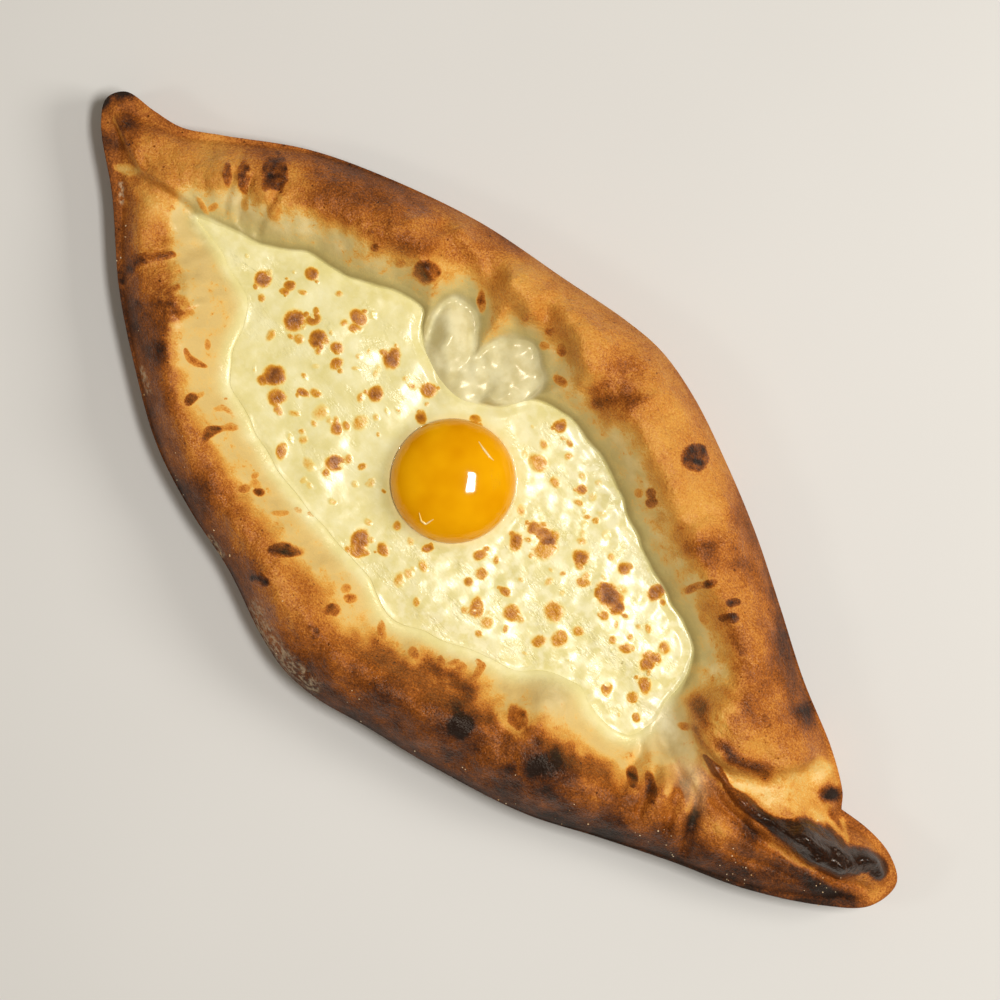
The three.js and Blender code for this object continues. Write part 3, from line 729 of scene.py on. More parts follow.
def closed_mesh(name, rows, flat_rows, layers):
    """A closed mesh from rows of points that run round the boat, closed by its first and last row.

    The faces after each of flat_rows are flat, which keeps the edge beside them crisp. layers gives each
    vertex attribute as one number for each point of the rows.
    """
    count = rows.shape[1]
    ids = np.arange(rows.shape[0] * count).reshape(rows.shape[0], count)
    mates = -np.arange(count) % count
    for row in (0, -1):
        ids[row] = np.minimum(ids[row], ids[row][mates])
    after = np.roll(ids, -1, axis=1)
    quads = np.stack([ids[:-1], after[:-1], after[1:], ids[1:]], axis=-1).reshape(-1, 4)
    used, quads = np.unique(quads, return_inverse=True)
    quads = quads.reshape(-1, 4)
    faces = [[v for k, v in enumerate(face) if v != face[k - 1]] for face in quads.tolist()]
    kept = [k for k, face in enumerate(faces) if len(face) > 2]
    mesh = bpy.data.meshes.new(name)
    mesh.from_pydata(rows.reshape(-1, 3)[used].tolist(), [], [faces[k] for k in kept])
    for layer, values in layers.items():
        attribute = mesh.attributes.new(layer, "FLOAT", "POINT")
        attribute.data.foreach_set("value", values.reshape(-1)[used].astype(np.float32))
    mesh.polygons.foreach_set("use_smooth", [k // count not in flat_rows for k in kept])
    return new_piece(name, mesh)


def spot_field(places, rows, bands=()):
    """The crisp spots: 1 at a spot's middle, 0.5 on its edge and 0 away from it, and how dark it is."""
    places = wandered(places, SPOT_WANDER, SPOT_WANDER_SIZE, SPOT_WANDER_SEED)
    field = np.zeros(len(places))
    darkness = np.zeros(len(places))
    fields = [(1 - hill(places, *oval) / 2, dark) for *oval, dark in rows]
    for path, width, dark in bands:
        distance, along, _ = nearest(metres(path), places)
        taper = BAND_ENDS + BAND_SWELL * np.sin(math.pi * along)
        fields.append((1 - distance / (2 * width * MM * taper), dark))
    for here, dark in fields:
        closer = here > field
        field[closer] = here[closer]
        darkness[closer] = dark
    return field, SPOT_DARKNESS * darkness * (1 + ripples(places, SPOT_MOTTLE))


def spot_rise(field):
    return smooth((field - SPOT_FOOT) / SPOT_FLANK)


def band_share(places, path, width, fade, wobble=0):
    """1 along a path and 0 away from it. fade says where the band ends and over what, in half widths."""
    distance = nearest(metres(path), places)[0] / (width * MM) + wobble
    end, blend = fade
    return smooth((end - distance) / blend)


def toasting_at(places, column):
    """One of the three measures of TOASTING at each place, mixed from the columns of the two sides."""
    table = np.array(TOASTING)
    near, far = (np.interp(places[:, 0], table[:, 0] * MM, table[:, first + column]) for first in (4, 1))
    return mix(near, far, far_share(places))


def crust_bake(places, from_outline, from_foot):
    """How far the dough is baked: 0 is cream, 0.5 golden brown and 1 charred. Painted shade along the outer
    edge, in a furrow and under overhanging dough is added to it.
    """
    golden, crest, edge = (toasting_at(places, column) for column in range(3))
    share = from_foot / (from_foot + from_outline + TINY)
    share = share + ripples(places, BAKE_DRIFT)
    bake = RAW_BAKE + (crest - RAW_BAKE) * smooth((share - golden + GOLDEN_LEAD) / GOLDEN_BLEND)
    bake = bake + (edge - crest) * smooth((share - FLANK_START) / FLANK_BLEND)
    bake = bake + ripples(places, BAKE_CLOUDS) * smooth((share - golden) / CLOUDS_BLEND)
    wobble = ripples(places, PALE_WOBBLE)
    clouds = ripples(places, PALE_CLOUDS)
    for path, width, level in PALE_BANDS:
        bake = mix(bake, level + clouds, band_share(places, path, width, PALE_FADE, wobble))
    # Scorched patches, one of them painted shadow in a furrow.
    wobble = ripples(places, SCORCH_AND_SHADE_WOBBLE)
    for *oval, amount in SCORCHES_AND_SHADE:
        bake = bake + amount * np.exp(-hill(places, *oval, wobble) ** 2)
    # The dark edges are scorching with painted shade where the dough overhangs or dips.
    wobble = ripples(places, SCORCHED_AND_SHADED_EDGE_WOBBLE)
    for path, width, amount in SCORCHED_AND_SHADED_EDGES:
        bake = bake + amount * band_share(places, path, width, SCORCHED_AND_SHADED_FADE, wobble)
    # Deeper browning and painted shade darken the outer edge, most on the -Y side.
    edge_browning_and_shade = EDGE_BROWNING_AND_SHADE * (1 - EDGE_SHADE_LESS_FAR * far_share(places))
    return bake + edge_browning_and_shade * smooth(1 - from_outline / EDGE_SHADE_REACH)


def rim_heights(places, from_outline, from_cheese, spot, inner, belly):
    """Heights of the dough's top rows, from the foot of the wall out to the edge, with lumps and blisters."""
    height = dough_height(places, from_outline, from_cheese).reshape(RIM_ROWS, -1)
    height = softened(np.vstack([height, belly]), 2)[:-1]
    lumps = ripples(places, CRUST_LUMPS)
    calm = mix(CALM_NEAR, CALM_FAR, far_share(places))
    lumps = lumps * smooth(from_outline / OUTER_BLEND) * smooth(from_cheese / calm)
    lumps = lumps + BLISTER_RISE * spot_rise(spot) * smooth(from_outline / BLISTER_EDGE)
    height = height + MM * lumps.reshape(height.shape)
    capped = CAP_START + CAP_ROOM * np.tanh((height - CAP_START) / CAP_ROOM)
    height = np.where(height > CAP_START, capped, height)
    height[1] = foot_height(inner)
    height[0] = height[1] - EDGE_DIP
    return height


def bread_rows():
    """The bread's points, row by row, with the distances and blisters that its finish needs."""
    outer = rib_points(outline, 1, 3, RIB_DENSITY)
    inner = cheese_edge(RIB_DENSITY)
    spine = spine_of(inner)
    floor = mix(spine, inner, CAVITY_FLAT)
    spread = 1 - (1 - np.arange(RIM_ROWS - 1) / (RIM_ROWS - 1)) ** RIM_CROWDING
    steps = np.concatenate([[-EDGE_TUCK], spread])
    rim = mix(inner[None], outer[None], steps[:, None, None])
    belly = BELLY_SHARE * crest_height(outer[:, 0])
    turns = np.arange(UNDERCUT_ROWS + 1) / UNDERCUT_ROWS * math.pi / 2
    inset = UNDERCUT * (1 - np.cos(turns))[:, None] / np.linalg.norm(outer - spine, axis=1)[None]
    curled = mix(outer[None], spine[None], np.minimum(inset, UNDERCUT_LIMIT)[..., None])
    curled_height = belly[None] * np.clip(1 - np.sin(turns), 0, 1)[:, None]
    xy = np.concatenate([spine[None], floor[None], rim, curled, spine[None]])
    places = xy.reshape(-1, 2)
    from_outline = nearest(outline_chords, places, closed=True)[0]
    from_cheese = nearest(cheese_chords, places, closed=True)[0]
    from_cheese[: 4 * len(inner)] = 0
    spots = spot_field(places, BLISTERS, BLISTER_BANDS)
    top = slice(2 * len(inner), (2 + RIM_ROWS) * len(inner))
    height = rim_heights(places[top], from_outline[top], from_cheese[top], spots[0][top], inner, belly)
    flat = np.full((1, len(spine)), CAVITY_FLOOR)
    z = np.concatenate([flat, flat, height, curled_height, 0 * flat])
    rows = np.concatenate([xy, z[..., None]], axis=-1)
    return rows, from_outline, from_cheese, spots


def grain_share(places, from_outline):
    """How thickly flour grains lie: on the lower outer edge and most on the twisted tip."""
    tail = mix(GRAIN_LEAST, 1, smooth((places[:, 0] - GRAIN_TAIL) / GRAIN_TAIL_BLEND))
    edge = smooth((GRAIN_REACH - from_outline) / GRAIN_BLEND) * smooth(from_outline / GRAIN_EDGE)
    patchy = smooth(0.5 + ripples(places, GRAIN_PATCHES))
    return tail * edge * patchy * (1 - far_share(places))


def make_bread():
    rows, from_outline, from_cheese, spots = bread_rows()
    places = rows[..., :2].reshape(-1, 2)
    from_folds = fold_height(places)[1]
    from_foot = np.minimum(from_cheese, from_folds)
    grain = grain_share(places, from_outline)
    grain[(2 + RIM_ROWS) * rows.shape[1]:] = 0
    dusted = np.zeros(len(places))
    for path, width in FLOUR:
        dusted = np.maximum(dusted, band_share(places, path, width, FLOUR_FADE))
    layers = {
        "bake": crust_bake(places, from_outline, from_foot),
        "spot": spots[0],
        "dark": spots[1],
        "roll": np.clip(roll_field(places)[0], -2, 1),
        "char": mix(THIN_CHAR, 1.0, smooth((places[:, 0] - CHAR_START) / CHAR_BLEND)),
        "off": from_foot / MM,
        "wet": np.clip(swell_height(places, WET_DOUGH) / MM + smooth(1 - from_folds / FOLD_DAMP), 0, 1),
        "far": far_share(places),
        "flour": dusted,
        "edge": smooth(1 - from_outline / DRY_EDGE),
        "grain": grain,
    }
    return closed_mesh("bread_crust", rows, (0, 1, 2), layers)


def within(loop, places):
    """Whether each place lies inside a closed loop."""
    crossed = np.zeros(len(places), bool)
    for a, b in zip(loop, np.roll(loop, -1, axis=0)):
        spans = (a[1] > places[:, 1]) != (b[1] > places[:, 1])
        reach = a[0] + (places[:, 1] - a[1]) / (b[1] - a[1] + TINY * MM) * (b[0] - a[0])
        crossed ^= spans & (places[:, 0] < reach)
    return crossed


def beside_yolk(places):
    """Each place's distance from the yolk's middle."""
    return np.hypot(places[:, 0] - YOLK_CENTRE.x, places[:, 1] - YOLK_CENTRE.y)


def cheese_marks():
    """The cheese's browned spots as ovals, with small ones beside the dark ones and freckles between them."""
    draw = np.random.default_rng(SPOT_SEED)
    rows = []
    for x, y, radius, dark in CHEESE_SPOTS:
        stretch = draw.uniform(*SPOT_STRETCH)
        turn = draw.uniform(0, 180)
        rows.append((x, y, radius * stretch, radius / stretch, turn, dark))
        if dark > 0.5:
            away = draw.uniform(0, 2 * math.pi)
            step = radius * draw.uniform(*SATELLITE_STEP)
            small = radius * draw.uniform(*SATELLITE_SIZE)
            middle = (x + step * math.cos(away), y + step * math.sin(away))
            rows.append((*middle, small, small, 0, SATELLITE_DARKNESS * dark))
    low, high = cheese_outline.min(axis=0), cheese_outline.max(axis=0)
    places = draw.uniform(low, high, (FRECKLES, 2))
    clear = nearest(cheese_chords, places, closed=True)[0] > FRECKLES_FROM_EDGE
    clear &= beside_yolk(places) > YOLK_RADIUS + FRECKLES_FROM_YOLK
    for x, y in places[clear & within(cheese_chords, places)] / MM:
        radius = draw.uniform(*FRECKLE_RADIUS)
        length = radius * draw.uniform(*FRECKLE_STRETCH)
        rows.append((x, y, length, radius, draw.uniform(0, 180), draw.uniform(*FRECKLE_DARKNESS)))
    return rows


def cheese_height(places, inside, from_yolk):
    meniscus = mix(MENISCUS_NEAR, MENISCUS_FAR, far_share(places))
    surface = CHEESE_LEVEL + swell_height(places, CHEESE_SWELLS)
    level = mix(foot_height(places) + CHEESE_OVER_FOOT, surface, smooth(inside / meniscus))
    return level + YOLK_BANK * np.exp(-(((from_yolk - YOLK_RADIUS) / YOLK_BANK_WIDTH) ** 2))


def yolk_underside(distance):
    share = np.clip(distance / YOLK_RADIUS, 0, 1)
    return YOLK_CENTRE.z - YOLK_SINK * (1 - share**YOLK_FLATNESS) ** (1 / YOLK_FLATNESS)


def make_cheese():
    edge = cheese_edge(CHEESE_DENSITY)
    spine = spine_of(edge)
    steps = (np.arange(CHEESE_ROWS + 1) / CHEESE_ROWS) ** CHEESE_CROWDING
    top = mix(spine[None], edge[None], steps[:, None, None])
    places = top.reshape(-1, 2)
    inside = nearest(cheese_chords, places, closed=True)[0]
    from_yolk = beside_yolk(places)
    height = cheese_height(places, inside, from_yolk)
    spot, dark = spot_field(places, cheese_marks())
    lively = mix(LEAST_LIVELY, 1, smooth((places[:, 0] - LIVELY_START) / LIVELY_BLEND))
    lumps = ripples(places, CHEESE_LUMPS) + lively * ripples(places, CHEESE_CURDS)
    calm = smooth((from_yolk - CALM_BY_YOLK) / CALM_BY_YOLK_BLEND) * smooth(inside / CHEESE_EDGE_CALM)
    height = height + MM * (lumps + SPOT_RISE * spot_rise(spot)) * calm
    under = from_yolk < YOLK_RADIUS - HOLLOW_EDGE
    height = np.where(under, np.minimum(height, yolk_underside(from_yolk) - CLEARANCE), height)
    floor = mix(spine, edge, CAVITY_FLAT)
    count = len(edge)
    xy = np.concatenate([top, edge[None], floor[None], spine[None]])
    z = np.concatenate([
        height.reshape(-1, count),
        np.full((1, count), FOOT_FAR),
        np.full((2, count), CAVITY_FLOOR + CLEARANCE),
    ])
    rows = np.concatenate([xy, z[..., None]], axis=-1)
    layers = {
        "spot": spot,
        "dark": dark,
        "moist": 1 - smooth((from_yolk - YOLK_RADIUS) / MOIST_REACH),
        "lively": lively * smooth(inside / LIVELY_EDGE),
        "wet": np.clip(swell_height(places, WET_CHEESE) / MM, 0, 1),
    }
    below = np.zeros((3, count))
    padded = {name: np.concatenate([values.reshape(-1, count), below]) for name, values in layers.items()}
    return closed_mesh("cheese_filling", rows, range(CHEESE_ROWS, len(rows) - 1), padded)


def smooth_piece(name, vertices, faces):
    mesh = bpy.data.meshes.new(name)
    mesh.from_pydata(vertices, [], faces)
    mesh.shade_smooth()
    return new_piece(name, mesh)


def band_faces(start, rings, sides):
    """Faces between rings of vertices, from the vertex numbered start on."""
    faces = []
    for ring in range(rings - 1):
        for k in range(sides):
            a = start + ring * sides + k
            b = start + ring * sides + (k + 1) % sides
            faces.append((a, b, b + sides, a + sides))
    return faces


def make_yolk():
    turns = np.linspace(-math.pi / 2, math.pi / 2, 2 * YOLK_ROWS + 1)[1:-1]
    radius = YOLK_RADIUS * np.cos(turns) ** (2 / YOLK_FLATNESS)
    height = np.where(turns < 0, YOLK_SINK, YOLK_RISE) * np.sin(turns)
    angles = np.arange(YOLK_SIDES) / YOLK_SIDES * 2 * math.pi
    vertices = [YOLK_CENTRE - Vector((0, 0, YOLK_SINK))]
    for r, h in zip(radius, height):
        vertices += [YOLK_CENTRE + Vector((r * math.cos(a), r * math.sin(a), h)) for a in angles]
    vertices.append(YOLK_CENTRE + Vector((0, 0, YOLK_RISE)))
    last = len(vertices) - 1
    faces = band_faces(1, len(radius), YOLK_SIDES)
    for j in range(YOLK_SIDES):
        k = (j + 1) % YOLK_SIDES
        faces.append((0, 1 + k, 1 + j))
        faces.append((last, last - YOLK_SIDES + j, last - YOLK_SIDES + k))
    return smooth_piece("yolk_drop", vertices, faces)


def yolk_top(x, y):
    """Height of the yolk's skin over a place in metres."""
    share = min(1, math.hypot(x - YOLK_CENTRE.x, y - YOLK_CENTRE.y) / YOLK_RADIUS)
    return YOLK_CENTRE.z + YOLK_RISE * math.sqrt(1 - share**YOLK_FLATNESS)


def make_threads():
    """Small threads of egg white that lie on the yolk, each a tube that tapers at its ends."""
    vertices = []
    faces = []
    turns = [2 * math.pi * k / THREAD_SIDES for k in range(THREAD_SIDES)]
    for path in YOLK_THREADS:
        points = metres(path)
        places = np.linspace(0, len(points) - 1, THREAD_STEPS)
        line = np.stack([np.interp(places, np.arange(len(points)), points[:, k]) for k in (0, 1)], axis=1)
        along = np.gradient(line, axis=0)
        start = len(vertices)
        for step, ((x, y), (dx, dy)) in enumerate(zip(line, along)):
            radius = THREAD_RADIUS * mix(THREAD_TIP, 1, math.sin(math.pi * step / (THREAD_STEPS - 1)))
            length = math.hypot(dx, dy)
            for turn in turns:
                out = radius * math.cos(turn)
                up = radius * math.sin(turn)
                vertices.append((x - dy / length * out, y + dx / length * out, yolk_top(x, y) + up))
        faces += band_faces(start, THREAD_STEPS, THREAD_SIDES)
        first_ring = range(start, start + THREAD_SIDES)
        faces.append(tuple(reversed(first_ring)))
        faces.append(tuple(range(len(vertices) - THREAD_SIDES, len(vertices))))
    return smooth_piece("white_threads", vertices, faces)


class Value:
    """A node's output, which is added, subtracted, multiplied and divided like a number."""

    def __init__(self, nodes, socket):
        self.nodes = nodes
        self.socket = socket

    def __add__(self, other):
        return self.nodes.maths("ADD", self, other)

    def __sub__(self, other):
        return self.nodes.maths("SUBTRACT", self, other)

    def __rsub__(self, other):
        return self.nodes.maths("SUBTRACT", other, self)

    def __mul__(self, other):
        return self.nodes.maths("MULTIPLY", self, other)

    def __truediv__(self, other):
        return self.nodes.maths("DIVIDE", self, other)

    def __rtruediv__(self, other):
        return self.nodes.maths("DIVIDE", other, self)


class Nodes:
    """Adds nodes to a tree. Inputs map a socket's name or number to a number or to another node's output."""

    def __init__(self, tree):
        self.tree = tree

    def fill(self, node, inputs):
        for name, value in inputs.items():
            if isinstance(value, Value):
                value = value.socket
            if isinstance(value, bpy.types.NodeSocket):
                self.tree.links.new(value, node.inputs[name])
            else:
                node.inputs[name].default_value = value

    def add(self, kind, inputs=None, **settings):
        node = self.tree.nodes.new(kind)
        for name, value in settings.items():
            setattr(node, name, value)
        self.fill(node, inputs or {})
        return node

    def output(self, name, kind, inputs=None, **settings):
        """One output of a new node."""
        return Value(self, self.add(kind, inputs, **settings).outputs[name])

    def maths(self, operation, *values):
        return self.output(0, "ShaderNodeMath", dict(enumerate(values)), operation=operation)

    def ramp(self, value, stops):
        node = self.add("ShaderNodeValToRGB", {"Fac": value})
        elements = node.color_ramp.elements
        while len(elements) < len(stops):
            elements.new(0.5)
        for element, (place, color) in zip(elements, stops):
            element.position = place
            element.color = color
        return Value(self, node.outputs["Color"])

    def step(self, value, start, end):
        """0 before start and 1 past end, with a smooth rise between them. End may be the smaller."""
        inputs = {"Value": value, "From Min": start, "From Max": end}
        return self.output("Result", "ShaderNodeMapRange", inputs, interpolation_type="SMOOTHSTEP")

    def spread(self, value, low, high):
        """A value from 0 to 1 spread from low to high."""
        return self.output("Result", "ShaderNodeMapRange", {"Value": value, "To Min": low, "To Max": high})

    def noise(self, vector, size, detail=3.0, roughness=0.55):
        inputs = {"Vector": vector, "Scale": 1 / size, "Detail": detail, "Roughness": roughness}
        return self.output("Fac", "ShaderNodeTexNoise", inputs)

    def blend(self, share, first, second):
        """Colour that goes from the first to the second as the share goes from 0 to 1."""
        return self.output(2, "ShaderNodeMix", {0: share, 6: first, 7: second}, data_type="RGBA")

    def attribute(self, name):
        return self.output("Fac", "ShaderNodeAttribute", attribute_name=name)

    def group(self, tree, **inputs):
        """The outputs of a group node. Each input's name has an underscore for a space."""
        node = self.add("ShaderNodeGroup", node_tree=tree)
        self.fill(node, {name.replace("_", " "): value for name, value in inputs.items()})
        return {socket.name: Value(self, socket) for socket in node.outputs}

    def bump(self, height, depth, strength=1.0):
        inputs = {"Height": height, "Strength": strength, "Distance": depth}
        return self.output("Normal", "ShaderNodeBump", inputs)


def grain_tree():
    """Geometry nodes that scatter small round grains where a surface's grain attribute asks for them."""
    tree = bpy.data.node_groups.new("scattered_grains", "GeometryNodeTree")
    inputs = {
        "Surface": ("Geometry", None),
        "Density": ("Float", GRAIN_DENSITY),
        "Smallest": ("Float", GRAIN_RADII[0]),
        "Largest": ("Float", GRAIN_RADII[1]),
        "Seed": ("Int", GRAIN_SEED),
        "Material": ("Material", None),
    }
    for label, (kind, default) in inputs.items():
        socket = tree.interface.new_socket(label, in_out="INPUT", socket_type="NodeSocket" + kind)
        if default is not None:
            socket.default_value = default
    tree.interface.new_socket("Grains", in_out="OUTPUT", socket_type="NodeSocketGeometry")
    nodes = Nodes(tree)
    given = nodes.add("NodeGroupInput").outputs
    share = nodes.output("Attribute", "GeometryNodeInputNamedAttribute", {"Name": "grain"}, data_type="FLOAT")
    points = nodes.add("GeometryNodeDistributePointsOnFaces", {
        "Mesh": given["Surface"],
        "Density": share * given["Density"],
        "Seed": given["Seed"],
    }).outputs
    size = nodes.output(1, "FunctionNodeRandomValue", {
        2: given["Smallest"],
        3: given["Largest"],
        "Seed": given["Seed"],
    }, data_type="FLOAT")
    placed = nodes.output("Instances", "GeometryNodeInstanceOnPoints", {
        "Points": points["Points"],
        "Instance": nodes.output("Mesh", "GeometryNodeMeshIcoSphere", {"Radius": 1.0, "Subdivisions": 1}),
        "Rotation": points["Rotation"],
        "Scale": size,
    })
    whole = nodes.output("Geometry", "GeometryNodeRealizeInstances", {"Geometry": placed})
    nodes.add("NodeGroupOutput", {"Grains": nodes.output("Geometry", "GeometryNodeSetMaterial", {
        "Geometry": whole,
        "Material": given["Material"],
    })})
    return tree


def make_grains(surface, material):
    """Grains of flour on the crust, as one plain mesh."""
    tree = grain_tree()
    piece = new_piece("flour_grains", surface.data)
    modifier = piece.modifiers.new("grains", "NODES")
    modifier.node_group = tree
    sockets = {item.name: item.identifier for item in tree.interface.items_tree if item.in_out == "INPUT"}
    modifier[sockets["Material"]] = material
    evaluated = piece.evaluated_get(bpy.context.evaluated_depsgraph_get())
    mesh = bpy.data.meshes.new_from_object(evaluated)
    piece.modifiers.clear()
    piece.data = mesh
    mesh.name = "flour_grains"
    return piece


def linear(red, green, blue):
    """A colour as it shows on a screen, from 0 to 255, as Blender's linear colour."""
    shares = [c / 255 for c in (red, green, blue)]
    parts = [c / 12.92 if c <= 0.0404 else ((c + 0.055) / 1.055) ** 2.4 for c in shares]
    return (*parts, 1)


BLACK = (0, 0, 0, 1)
WHITE = (1, 1, 1, 1)
DOUGH_BROWNING = [
    (0.0, linear(236, 210, 138)),
    (0.2, linear(230, 184, 96)),
    (0.36, linear(219, 158, 70)),
    (0.5, linear(203, 131, 52)),
    (0.62, linear(169, 95, 32)),
    (0.75, linear(124, 66, 20)),
    (0.88, linear(82, 42, 18)),
    (1.0, linear(38, 24, 17)),
]
CHEESE_BROWNING = [
    (0.0, linear(246, 232, 158)),
    (0.16, linear(240, 208, 100)),
    (0.34, linear(220, 160, 50)),
    (0.55, linear(190, 120, 32)),
    (0.75, linear(146, 86, 28)),
    (1.0, linear(86, 48, 20)),
]
CHEESE_CREAM = [
    (0.34, linear(223, 212, 145)),
    (0.52, linear(231, 221, 159)),
    (0.68, linear(239, 232, 181)),
]
YOLK_ORANGE = [
    (0.3, linear(224, 150, 2)),
    (0.7, linear(240, 172, 8)),
]

# The +Y wall: painted shade in the crease beside the cheese, darkest at the cheese, and further out its
# colour where its random lumps are low and where they are high.
OLIVE_PAINTED_SHADE = [
    (0.05, linear(156, 142, 88)),
    (0.3, linear(194, 178, 116)),
    (1.0, linear(214, 192, 132)),
]
WALL_LOW = linear(206, 188, 126)
WALL_HIGH = linear(232, 212, 156)

# The -Y wall beside the cheese and further out.
WARM_FOOT = linear(212, 196, 136)
WARM_WALL = linear(218, 188, 120)
FILM_OUTSIDE = linear(222, 196, 126)
SOAKED_LOW = linear(202, 190, 140)
SOAKED_HIGH = linear(228, 220, 178)
FLOUR_DUST = linear(214, 194, 158)
CHEESE_WHITE_AND_SHEEN = linear(250, 245, 206)
CHEESE_WHEY = linear(208, 194, 140)
CHEESE_BY_YOLK = linear(236, 214, 144)
BUTTERY_TINT = (1, 0.86, 0.7, 1)

# Sizes of the patterns in the finish.
MOTTLE = 7 * MM
FLECK = 1.4 * MM
CLOUD = 4 * MM
SPECK = 1.6 * MM
RAGGED = 2 * MM
LUMP = 6 * MM
PATCH = 5 * MM
CRACKLE = 2.4 * MM
CURD = 3 * MM

# How deep the finish's fine relief is.
CRUST_RELIEF = 0.45 * MM
CHEESE_RELIEF = 0.5 * MM
YOLK_RELIEF = 0.15 * MM


def new_group(name, inputs, outputs):
    """A shader node group. inputs maps each name to its default: a number, a colour, or None for a vector."""
    group = bpy.data.node_groups.new(name, "ShaderNodeTree")
    kinds = {float: "NodeSocketFloat", tuple: "NodeSocketColor", type(None): "NodeSocketVector"}
    for label, default in inputs.items():
        socket = group.interface.new_socket(label, in_out="INPUT", socket_type=kinds[type(default)])
        if default is not None:
            socket.default_value = default
    for label, kind in outputs.items():
        group.interface.new_socket(label, in_out="OUTPUT", socket_type="NodeSocket" + kind)
    nodes = Nodes(group)
    given = {socket.name: Value(nodes, socket) for socket in nodes.add("NodeGroupInput").outputs}
    return group, nodes, given


def toasting_group(name, stops, pale_end):
    """Colour of dough or cheese browned by the oven, with a grain that breaks up the edges of its spots."""
    group, nodes, given = new_group(
        name,
        {"Vector": None, "Bake": 0.5, "Grain Size": 0.9 * MM, "Grain": 0.16, "Pale": linear(240, 228, 168)},
        {"Color": "Color", "Bake": "Float"},
    )
    grain = nodes.noise(given["Vector"], given["Grain Size"], 4.0, 0.6) - 0.5
    room = given["Bake"] * (1.25 - given["Bake"]) * (given["Grain"] * 4.0)
    bake = given["Bake"] + grain * room
    share = nodes.ramp(bake, [(0.03, BLACK), (pale_end, WHITE)])
    color = nodes.blend(share, given["Pale"], nodes.ramp(bake, stops))
    nodes.add("NodeGroupOutput", {"Color": color, "Bake": bake})
    return group


def spotting_group():
    """How far crisp spots are browned, from a field that is 1 at a spot's middle and 0.5 on its edge."""
    group, nodes, given = new_group(
        "spotting",
        {"Vector": None, "Spot": 0.0, "Dark": 0.8, "Size": 1.1 * MM, "Wobble": 0.14, "Softness": 0.24},
        {"Level": "Float"},
    )
    noise = nodes.noise(given["Vector"], given["Size"], 2.0, 0.5)
    field = given["Spot"] + (noise - 0.5) * given["Wobble"]
    start = 0.5 - given["Softness"] * 0.6
    core = nodes.step(field, start, start + given["Softness"])
    halo = nodes.step(field, 0.1, 0.6)
    middle = nodes.step(field, 0.55, 0.95)
    whole = core * 0.48 + halo * 0.36 + middle * 0.16
    nodes.add("NodeGroupOutput", {"Level": whole * given["Dark"]})
    return group


def cheese_skin_group():
    """Pale colour and roughness of melted cheese. The dough under a film of cheese shares it."""
    group, nodes, given = new_group(
        "cheese_skin",
        {"Vector": None, "Size": 8 * MM},
        {"Color": "Color", "Roughness": "Float"},
    )
    color = nodes.ramp(nodes.noise(given["Vector"], given["Size"], 3.0, 0.5), CHEESE_CREAM)
    rough = nodes.spread(nodes.noise(given["Vector"], 2 * MM), 0.12, 0.36)
    nodes.add("NodeGroupOutput", {"Color": color, "Roughness": rough})
    return group


def pores_group():
    """Small pits scattered over the crust: 1 in a pit and 0 elsewhere."""
    group, nodes, given = new_group(
        "pores",
        {"Vector": None, "Spacing": 2.4 * MM, "Share": 0.5},
        {"Pit": "Float"},
    )
    cells = nodes.add("ShaderNodeTexVoronoi", {"Vector": given["Vector"], "Scale": 1 / given["Spacing"]})
    chance = nodes.add("ShaderNodeSeparateColor", {"Color": cells.outputs["Color"]})
    chosen = nodes.maths("LESS_THAN", chance.outputs["Red"], given["Share"])
    size = nodes.spread(chance.outputs["Green"], 0.08, 0.2)
    pit = nodes.step(cells.outputs["Distance"], size, size * 0.4)
    nodes.add("NodeGroupOutput", {"Pit": pit * chosen})
    return group


def relief_group():
    """Height of a fine uneven skin, coarse forms and fine grain together."""
    group, nodes, given = new_group(
        "skin_relief",
        {"Vector": None, "Coarse Size": 3 * MM, "Fine Size": 0.7 * MM, "Fine Share": 0.4},
        {"Height": "Float"},
    )
    coarse = nodes.noise(given["Vector"], given["Coarse Size"], 3.0, 0.5)
    fine = nodes.noise(given["Vector"], given["Fine Size"], 3.0, 0.5)
    nodes.add("NodeGroupOutput", {"Height": coarse + fine * given["Fine Share"]})
    return group


dough_toasting = toasting_group("dough_toasting", DOUGH_BROWNING, 0.3)
cheese_toasting = toasting_group("cheese_toasting", CHEESE_BROWNING, 0.36)
skin_relief = relief_group()
spotting = spotting_group()
cheese_skin = cheese_skin_group()
pores = pores_group()


def new_material(name):
    """A material, its nodes, its shader node and the place on the piece that its patterns follow."""
    material = bpy.data.materials.new(name)
    material.use_nodes = True
    nodes = Nodes(material.node_tree)
    shader = material.node_tree.nodes["Principled BSDF"]
    return material, nodes, shader, nodes.output("Object", "ShaderNodeTexCoord")


def crust_level(nodes, place, pit, blistered, char):
    """How far the crust is baked, with its mottling, pores, blisters and char."""
    baked = nodes.attribute("bake")
    flecks = (nodes.noise(place, FLECK) - 0.5) * 0.5
    mottle = (nodes.noise(place, MOTTLE, 4.0) - 0.5 + flecks) * (baked * 0.5)
    clouds = nodes.step(nodes.noise(place, CLOUD, 4.0), 0.44, 0.66)
    specks = clouds * nodes.step(nodes.noise(place, SPECK, 2.0), 0.5, 0.74)
    tinge = (clouds * 0.12 + specks * 0.24) * nodes.step(nodes.attribute("off"), 0.5, 5.0)
    tinge = tinge * nodes.step(baked, 0.45, 0.15)
    level = nodes.maths("MAXIMUM", baked + mottle + pit * 0.16 + tinge, blistered)
    return level + char * (nodes.attribute("char") - level)


